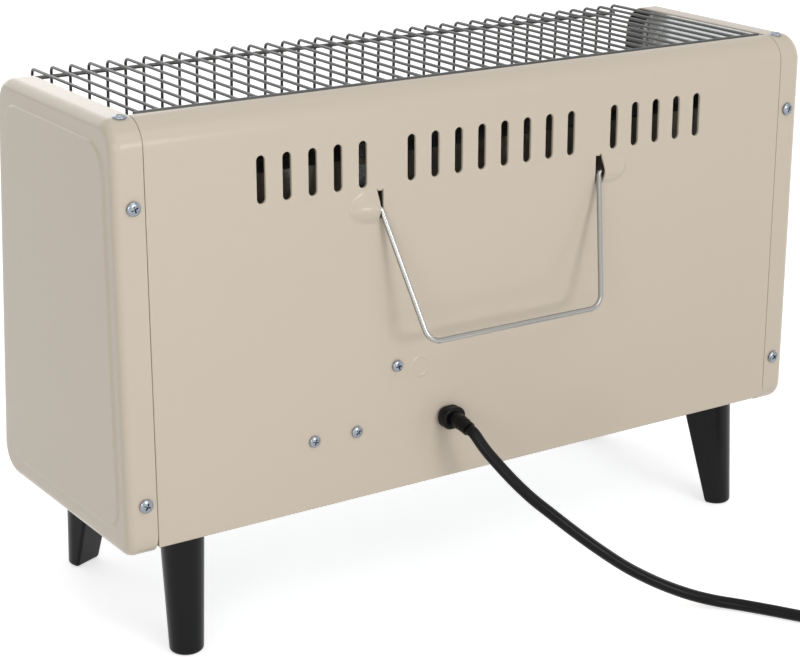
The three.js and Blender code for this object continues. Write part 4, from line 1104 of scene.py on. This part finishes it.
    def lugs(self, shell: Shell, side: float) -> None:
        """Adds the two lips that stop the bail's leg.

        Args:
            shell: The panel's mesh.
            side: 1 on the right, -1 on the left.
        """
        for low, tip, proud in self.lug_forms:
            way = math.copysign(1.0, tip - low)
            foot = low + self.lug_run * way
            ramp = [(-0.6, low), (proud - 0.2, foot - 0.4 * way), (proud, foot)]
            profile = [*ramp, (proud, tip), (-1.2, tip)]
            rings = []
            for x in self.lug_spans:
                ease = self.lug_ease if x in (self.lug_spans[0], self.lug_spans[-1]) else 0.0
                rings.append([Vector((side * x, y - ease if y > 0 else y, AXIS_Z + z)) for y, z in profile])
            shell.loft(rings, closed=False)

    def build(self) -> None:
        """Builds the panel as one mesh. Its large flat face is filled round the slots, ring and pockets."""
        shell = Shell()
        rows = self.profile()
        half = [(self.edge - inset, depth) for inset, depth in self.hem]
        columns = [(-x, depth) for x, depth in reversed(half)] + half
        made = []
        for x, depth in columns:
            made.append(shell.ring([Vector((x, y - depth * ny, z - depth * nz)) for y, z, ny, nz in rows]))
        foot, head, face = self.fold_steps, self.fold_steps + 1, len(half) - 1
        for c, (a, b) in enumerate(zip(made, made[1:])):
            for r in range(len(rows) - 1):
                if (c, r) != (face, foot):
                    shell.faces.append((a[r], b[r], b[r + 1], a[r + 1]))
        left, right = made[face], made[face + 1]
        outer = [left[foot], right[foot], right[head], left[head]]
        loops = [outer, *self.slots(shell), self.ring_mark(shell)]
        for _, side in SIDES:
            loops.append(self.pocket(shell, side))
            self.lugs(shell, side)
        numbers = [n for loop in loops for n in loop]
        flat = [[Vector((shell.points[n].x, shell.points[n].z, 0)) for n in loop] for loop in loops]
        for a, b, c in tessellate_polygon(flat):
            p, q, r = (shell.points[numbers[n]] for n in (a, b, c))
            turn = (q - p).cross(r - p).y
            if abs(turn) > NO_AREA:
                shell.faces.append(tuple(numbers[n] for n in ((a, b, c) if turn > 0 else (a, c, b))))
        fit(shell.piece("rear_cover"), ENAMEL, ["rear_panel"])


# Bail, guard and legs


@dataclass
class Bail:
    """The wire bail that folds out of the two pockets."""

    wire: float = 1.6
    axis_y: float = 0.5
    pin_end: float = 91.0
    shoulder_x: float = 77.0
    bar_x: float = 61.1
    drop: float = 75.2
    lean: float = 0.345
    shoulder_bend: float = 2.8
    corner_bend: float = 9.5
    bend_steps: int = 10

    def build(self) -> None:
        """Builds the bail as one bent wire."""
        half = [Vector((x, self.axis_y, AXIS_Z)) for x in (self.pin_end, self.shoulder_x)]
        half.append(Vector((self.bar_x, self.axis_y + self.drop * self.lean, AXIS_Z - self.drop)))
        corners = half + [Vector((-p.x, p.y, p.z)) for p in reversed(half)]
        bends = [self.shoulder_bend, self.corner_bend, self.corner_bend, self.shoulder_bend]
        bail = wire("bail_wire", [bent(corners, bends, self.bend_steps)], self.wire, 5)
        fit(bail, NICKEL, ["bail_handle"], "bail")


@dataclass
class Guard:
    """The guard: bent wires side by side on a rail, with two cross wires inside the front."""

    wires: int = 37
    half: float = HALF - 26.8
    wire: float = 0.95
    cross: float = 1.2
    rail: float = 1.5
    rail_end: float = 4.0
    top: float = HEIGHT - 0.6
    rail_y: float = -18.3
    proud: float = 8.57
    foot_inset: float = 1.8
    foot_z: float = FASCIA_TOP + 2.35
    foot: float = 14.5
    bend: float = 3.4
    bend_steps: int = 5
    cross_heights: Flat = (HEIGHT - 6, HEIGHT - 86)

    def front_at(self, z: float) -> float:
        """Returns the y of the guard's front line at a height."""
        top_y, foot_y = -TOP_DEPTH - self.proud, front_at(self.foot_z) + self.foot_inset
        return top_y + (foot_y - top_y) * (self.top - z) / (self.top - self.foot_z)

    def build(self) -> None:
        """Builds the wires of each thickness."""
        foot_y = self.front_at(self.foot_z)
        section_line = [
            (self.rail_y, self.top), (self.front_at(self.top), self.top),
            (foot_y, self.foot_z), (foot_y + self.foot, self.foot_z),
        ]
        places = [self.half * (2 * i / (self.wires - 1) - 1) for i in range(self.wires)]
        lines = [bent(section(x, section_line), [self.bend, self.bend], self.bend_steps) for x in places]
        fit(wire("guard_wires", lines, self.wire, 2), DULL_WIRE, ["front_guard"])
        inward, reach = self.wire + self.cross - FIT, self.half + self.cross
        heights = [(self.front_at(z) + inward, z) for z in self.cross_heights]
        across = [[Vector((x, y, z)) for x in (-reach, reach)] for y, z in heights]
        fit(wire("guard_cross_wires", across, self.cross, 3), DULL_WIRE, [])
        reach = self.half + self.rail_end
        rail = [[Vector((x, self.rail_y, self.top)) for x in (-reach, reach)]]
        fit(wire("guard_rail", rail, self.rail, 3), DULL_WIRE, [])


@dataclass
class Leg:
    """A splayed leg: round outside, flat inside, narrower at the floor."""

    end: str
    way: float
    y: float
    word: str
    side: float
    inset: float
    out_share: float = 0.395
    foot_radius: float = 9.8
    foot_inside: float = 3.3
    top_radius: float = 12.6
    top_inside: float = 16.0
    shift: float = 6.5
    ease: float = 2.2
    fillet: float = 2.0
    least_fillet: float = 0.4
    round_steps: int = 28
    fillet_steps: int = 5
    ease_steps: int = 6

    def build(self) -> None:
        """Builds the leg."""
        out = Vector((self.side * self.out_share, self.way * math.sqrt(1 - self.out_share**2), 0))
        across = Vector((-out.y, out.x, 0))
        foot = Vector((self.side * (HALF - self.inset), self.y, 0))
        top = foot - out * self.shift

        def ring(z: float, inset: float) -> list[Vector]:
            """Returns the leg's section.

            Args:
                z: Its height.
                inset: The distance that it is drawn in by.

            Returns:
                The section's points.
            """
            share = z / LEG_HEIGHT
            radius = self.foot_radius + (self.top_radius - self.foot_radius) * share - inset
            inside = self.foot_inside + (self.top_inside - self.foot_inside) * share - inset
            middle = foot.lerp(top, share)
            fillet = max(self.fillet - inset, self.least_fillet)
            turns = [math.pi * (0.5 - k / self.round_steps) for k in range(self.round_steps + 1)]
            points = [(radius * math.cos(a), radius * math.sin(a)) for a in turns]
            for sign in (-1, 1):
                for a in arc(self.fillet_steps):
                    first, second = (math.sin(a), math.cos(a)) if sign < 0 else (math.cos(a), math.sin(a))
                    u, v = -inside + fillet * (1 - first), radius - fillet + fillet * second
                    points.append((u, sign * v))
            return [Vector((middle.x, middle.y, z)) + out * u + across * v for u, v in points]

        turns = arc(self.ease_steps)
        rings = [ring(self.ease * (1 - math.cos(a)), self.ease * (1 - math.sin(a))) for a in turns]
        shell = Shell()
        shell.loft([*rings, ring(LEG_HEIGHT, 0)], caps=(True, True))
        leg = shell.piece(f"moulded_leg_{self.end}_{self.word}", crease=50)
        fit(leg, LEG_ABS, [f"leg_{self.end}_{self.word}"])


# Fixings


@dataclass(frozen=True)
class Screw:
    """A pan-head screw with a cross recess.

    Attributes:
        name: Its mesh's name.
        head: The head's radius.
        high: The head's height.
        shank: The shank's radius.
        long: The shank's length.
        sides: The number of sides.
        dome_steps: The steps up the head's dome.
        brim: The height of the head's widest place, as a share of the head's height.
        seat: The radius of the head's seat, as a share of its radius.
        dome_foot: The radius of the dome's foot, as a share of the head's.
        crown: The shares of the head's height under its dome and in it.
        arm: Half a recess arm's length near the top, as a share of the head's radius.
        thick: Half its thickness there, as a share of the head's radius.
        flare: The recess's size at its foot and above the head, as shares of those two.
        deep: The heights of these places, as shares of the head's height.
        crease: The angle in degrees above which an edge stays sharp.
    """

    name: str
    head: float
    high: float
    shank: float
    long: float = 8.0
    sides: int = 28
    dome_steps: int = 8
    brim: float = 0.2
    seat: float = 0.93
    dome_foot: float = 0.999
    crown: Flat = (0.42, 0.58)
    arm: float = 0.56
    thick: float = 0.12
    flare: Flat = (0.6, 1.2)
    deep: Flat = (0.3, 1.4)
    crease: float = 38.0

    def mesh(self) -> bpy.types.Mesh:
        """Returns the screw's mesh along +Z, in metres, with its recess cut."""
        shell = Shell()
        low, rise = self.crown
        head = [(0, self.high)]
        for a in arc(self.dome_steps)[1:]:
            head.append((self.head * self.dome_foot * math.sin(a), self.high * (low + rise * math.cos(a))))
        head += [(self.head, self.high * self.brim), (self.head * self.seat, 0)]
        shank = [(self.shank, 0), (self.shank, -self.long), (0, -self.long)]
        spun(head + shank, Vector((0, -REAR_FACE, 0)), UP, self.sides, shell)
        body = shell.piece(f"{self.name}_blank", flip=True)
        arm, thick = self.head * self.arm, self.head * self.thick
        cutter = Shell()
        for wide, deep in ((arm, thick), (thick, arm)):
            rings = []
            for flare, share in zip(self.flare, self.deep):
                corners = rectangle(wide * flare, deep * flare)
                rings.append([Vector((u, v - REAR_FACE, self.high * share)) for u, v in corners])
            cutter.loft(rings, caps=(True, True))
        tool = cutter.piece(f"{self.name}_recess")
        for part in (body, tool):
            part.modifiers.clear()
        cut = body.modifiers.new("recess", "BOOLEAN")
        cut.object = tool
        cut.operation = "DIFFERENCE"
        cut.solver = "EXACT"
        cut.use_self = True
        bpy.context.view_layer.update()
        made = bpy.data.meshes.new_from_object(body.evaluated_get(bpy.context.evaluated_depsgraph_get()))
        made.name = self.name
        made.shade_smooth()
        made.set_sharp_from_angle(angle=math.radians(self.crease))
        for part in (body, tool):
            bpy.data.objects.remove(part)
        return made


Spot = tuple[str, Point, Vector, Screw, float]


@dataclass
class Fixings:
    """All the screws that show."""

    large: Screw = Screw("panel_screw", 4.0, 2.2, 1.9)
    small: Screw = Screw("small_screw", 3.5, 2.0, 1.5)
    panel_x: float = 227.4
    upper_z: float = 265.3
    lower_z: float = 99.3
    top_at: Flat = (226.7, -13.5)
    top_sink: float = 1.2
    tip_switch_x: Flat = (93.7, 121.7)
    tip_switch_z: float = 114.0
    earth_at: Flat = (66.1, 148.9)

    def spots(self) -> list[Spot]:
        """Returns each screw's node, place, direction, kind and the turn of its recess in degrees."""
        rows: list[Spot] = []
        for i, (word, side) in enumerate(SIDES):
            x = side * self.panel_x
            rows.append((f"panel_screw_{word}_upper", (x, 0, self.upper_z), REAR, self.large, 20 + 47 * i))
            rows.append((f"panel_screw_{word}_lower", (x, 0, self.lower_z), REAR, self.large, 65 - 30 * i))
            top = (side * self.top_at[0], self.top_at[1], HEIGHT - self.top_sink)
            rows.append((f"top_screw_{word}", top, UP, self.large, 30 + 21 * i))
            front = (x, front_at(DIAL_Z), DIAL_Z)
            rows.append((f"front_screw_{word}", front, FRONT_NORMAL, self.large, 12 + 35 * i))
        for number, x, turn in zip((1, 2), self.tip_switch_x, (40, 75)):
            rows.append((f"tip_switch_screw_{number}", (x, 0, self.tip_switch_z), REAR, self.small, turn))
        rows.append(("earth_screw", (self.earth_at[0], 0, self.earth_at[1]), REAR, self.small, 10))
        return rows

    def build(self) -> None:
        """Builds a screw at each place."""
        meshes = {kind.name: kind.mesh() for kind in (self.large, self.small)}
        for node, at, out, kind, turn in self.spots():
            screw = linked(f"{node}_pan_head", meshes[kind.name])
            aim = UP.rotation_difference(out).to_matrix().to_4x4()
            spin = Matrix.Rotation(math.radians(turn), 4, "Z")
            screw.matrix_world = Matrix.Translation(place(Vector(at) + out * FIT)) @ aim @ spin
            fit(screw, ZINC, [node])


# The front and the inside


@dataclass
class ControlKnob:
    """The switch knob: a skirted disc with a tapered grip and a filled line.

    The skirt and the shoulder are pairs of a share of the disc's radius and a height, over the disc's foot and
    over its rim. The grip's foot and top are pairs of a height, over the rim and over the knob's height, and
    the distance that its outline is drawn in by there. Its widths are shares of the radius too.
    """

    at: Point = (160.0, front_at(DIAL_Z), DIAL_Z)
    radius: float = 20.0
    height: float = 19.0
    clear: float = 0.8
    sides: int = 72
    rim: float = 0.45
    skirt: tuple[Flat, ...] = ((0.985, 0.0), (1.0, 0.4))
    shoulder: tuple[Flat, ...] = ((0.97, -0.6), (0.955, 0.1), (0.9, 0.8), (0.84, 1.2))
    grip_half: float = 0.8
    grip_wide: float = 0.24
    grip_narrow: float = 0.17
    grip_radii: tuple[float, ...] = (2.5, 2.5, 2.0, 2.0)
    grip_foot: tuple[Flat, ...] = ((0.0, -0.9), (1.25, -0.6), (1.9, -0.1))
    grip_top: tuple[Flat, ...] = ((-1.2, 0.25), (-0.4, 0.5), (0.0, 1.2))
    line_half: float = 0.6
    line_span: Flat = (3.0, 14.2)
    line_sink: float = 0.3
    figure_size: float = 9.0
    figure_depth: float = 0.05
    figure_radius: float = 27.0
    proud: float = 0.06

    def spot(self, u: float, v: float, w: float) -> Vector:
        """Returns a point across, up and out of the fascia from the knob's middle."""
        return Vector(self.at) + RIGHT * u + FRONT_UP * v + FRONT_NORMAL * w

    def grip(self, w: float, inset: float) -> list[Vector]:
        """Returns the grip's outline.

        Args:
            w: Its height out of the fascia.
            inset: The distance that it is drawn in by.

        Returns:
            The outline's points.
        """
        shares = (self.grip_wide, self.grip_narrow, self.grip_half)
        a, b, c = (self.radius * share - inset for share in shares)
        corners = [(-a, -c), (a, -c), (b, c), (-b, c)]
        return [self.spot(u, v, w) for u, v in rounded(corners, list(self.grip_radii), CORNER_STEPS)]

    def build(self) -> None:
        """Builds the knob, its line and the dial's figures."""
        shell = Shell()
        rim = self.height * self.rim
        side = [(self.radius * share, self.clear + over) for share, over in self.skirt]
        side += [(self.radius * share, rim + over) for share, over in self.shoulder]
        profile = [(0, self.clear), *side, (0, rim + self.shoulder[-1][1])]
        spun(profile, Vector(self.at), FRONT_NORMAL, self.sides, shell)
        levels = [(rim + over, inset) for over, inset in self.grip_foot]
        levels += [(self.height + over, inset) for over, inset in self.grip_top]
        shell.loft([self.grip(w, inset) for w, inset in levels], caps=(False, True))
        fit(shell.piece("switch_knob", crease=50), PHENOLIC, ["control_knob"], "knob")
        line = Shell()
        near, far = self.line_span
        half = self.line_half
        corners = [(-half, near), (half, near), (half, far), (-half, far)]
        rings = [[self.spot(u, v, self.height + w) for u, v in corners] for w in (-self.line_sink, self.proud)]
        line.loft(rings, caps=(True, True))
        fit(line.piece("knob_line"), FILLING, [], "knob")
        self.figures()

    def figures(self) -> None:
        """Puts the plain figures 0, 1 and 2 round the knob on the fascia."""
        turn = Matrix((RIGHT, FRONT_UP, FRONT_NORMAL)).transposed().to_4x4()
        for figure, angle in (("0", 90), ("1", 45), ("2", 0)):
            a = math.radians(angle)
            data = bpy.data.curves.new(f"dial_figure_{figure}", "FONT")
            data.body = figure
            data.size = self.figure_size * MM
            data.extrude = self.figure_depth * MM
            data.align_x = "CENTER"
            data.align_y = "CENTER"
            made = linked(f"dial_figure_{figure}", data)
            at = self.spot(self.figure_radius * math.cos(a), self.figure_radius * math.sin(a), self.proud)
            made.matrix_world = Matrix.Translation(place(at)) @ turn
            fit(made, PHENOLIC, [])


@dataclass
class Inside:
    """The parts behind the guard and in the base: the tubes, and what keeps its solid's shape."""

    tube_y: float = -95.0
    tube_half: float = SEAM - 22.8
    tube_radius: float = 5.5
    tube_bore: float = 4.5
    tube_ease: Flat = (0.2, 0.3)
    tube_sides: int = 40
    tube_shares: tuple[tuple[str, float], ...] = (("upper", 0.63), ("lower", 0.28))

    def build(self, frame: dict) -> None:
        """Dresses every node that keeps its own shape, and builds the tubes.

        Args:
            frame: The loaded frame.
        """
        pairs = [f"{level}_{word}" for level in ("upper", "lower") for word, _ in SIDES]
        keep(frame, ["front_fascia"], ENAMEL, 0.3)
        keep(frame, ["base_pan", "tube_holder_right", "tube_holder_left", "thermal_cutout"], GALVANISED, 0.2)
        keep(frame, ["reflector"], ALUMINIUM, 0.1, 20)
        keep(frame, [f"tube_cap_{pair}" for pair in pairs] + ["terminal_block"], STEATITE, 0.4)
        keep(frame, ["selector_switch", "tip_over_switch"], NYLON, 0.5)
        keep(frame, ["heating_element_upper", "heating_element_lower"], ELEMENT_WIRE, 0)
        keep(frame, ["lead_bridge", "lead_upper", "lead_lower", "lead_supply"], SLEEVING, 0, 60)
        screws = [f"leg_screw_{end}_{word}" for end in ("rear", "front") for word, _ in SIDES]
        keep(frame, ["earth_nut", *screws], ZINC, 0.3)
        half, radius, bore = self.tube_half, self.tube_radius, self.tube_bore
        inward, along = self.tube_ease
        profile = [(bore, -half), (radius - inward, -half), (radius, -half + along), (radius, half - along)]
        profile += [(radius - inward, half), (bore, half), (bore, -half)]
        for level, share in self.tube_shares:
            shell = Shell()
            at = Vector((0, self.tube_y, FASCIA_TOP + (HEIGHT - FASCIA_TOP) * share))
            spun(profile, at, RIGHT, self.tube_sides, shell)
            fit(shell.piece(f"milky_tube_{level}"), QUARTZ, [f"quartz_tube_{level}"])


LEG_INSETS = {"right": 39.5, "left": 43.5}
LEG_ROWS = (("rear", 1.0, -13.4), ("front", -1.0, 26.05 - BOTTOM_DEPTH))


def main() -> None:
    """Builds the scene in order."""
    logging.basicConfig(level=logging.INFO, format="%(message)s")
    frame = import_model()
    studio = Studio()
    studio.camera()
    MainsLead().build(frame)
    studio.build()
    for word, side in SIDES:
        EndPanel(word, side).build()
    RearPanel().build()
    Bail().build()
    Guard().build()
    for word, side in SIDES:
        for end, way, y in LEG_ROWS:
            Leg(end, way, y, word, side, LEG_INSETS[word]).build()
    Fixings().build()
    ControlKnob().build()
    Inside().build(frame)


if __name__ == "__main__":
    main()
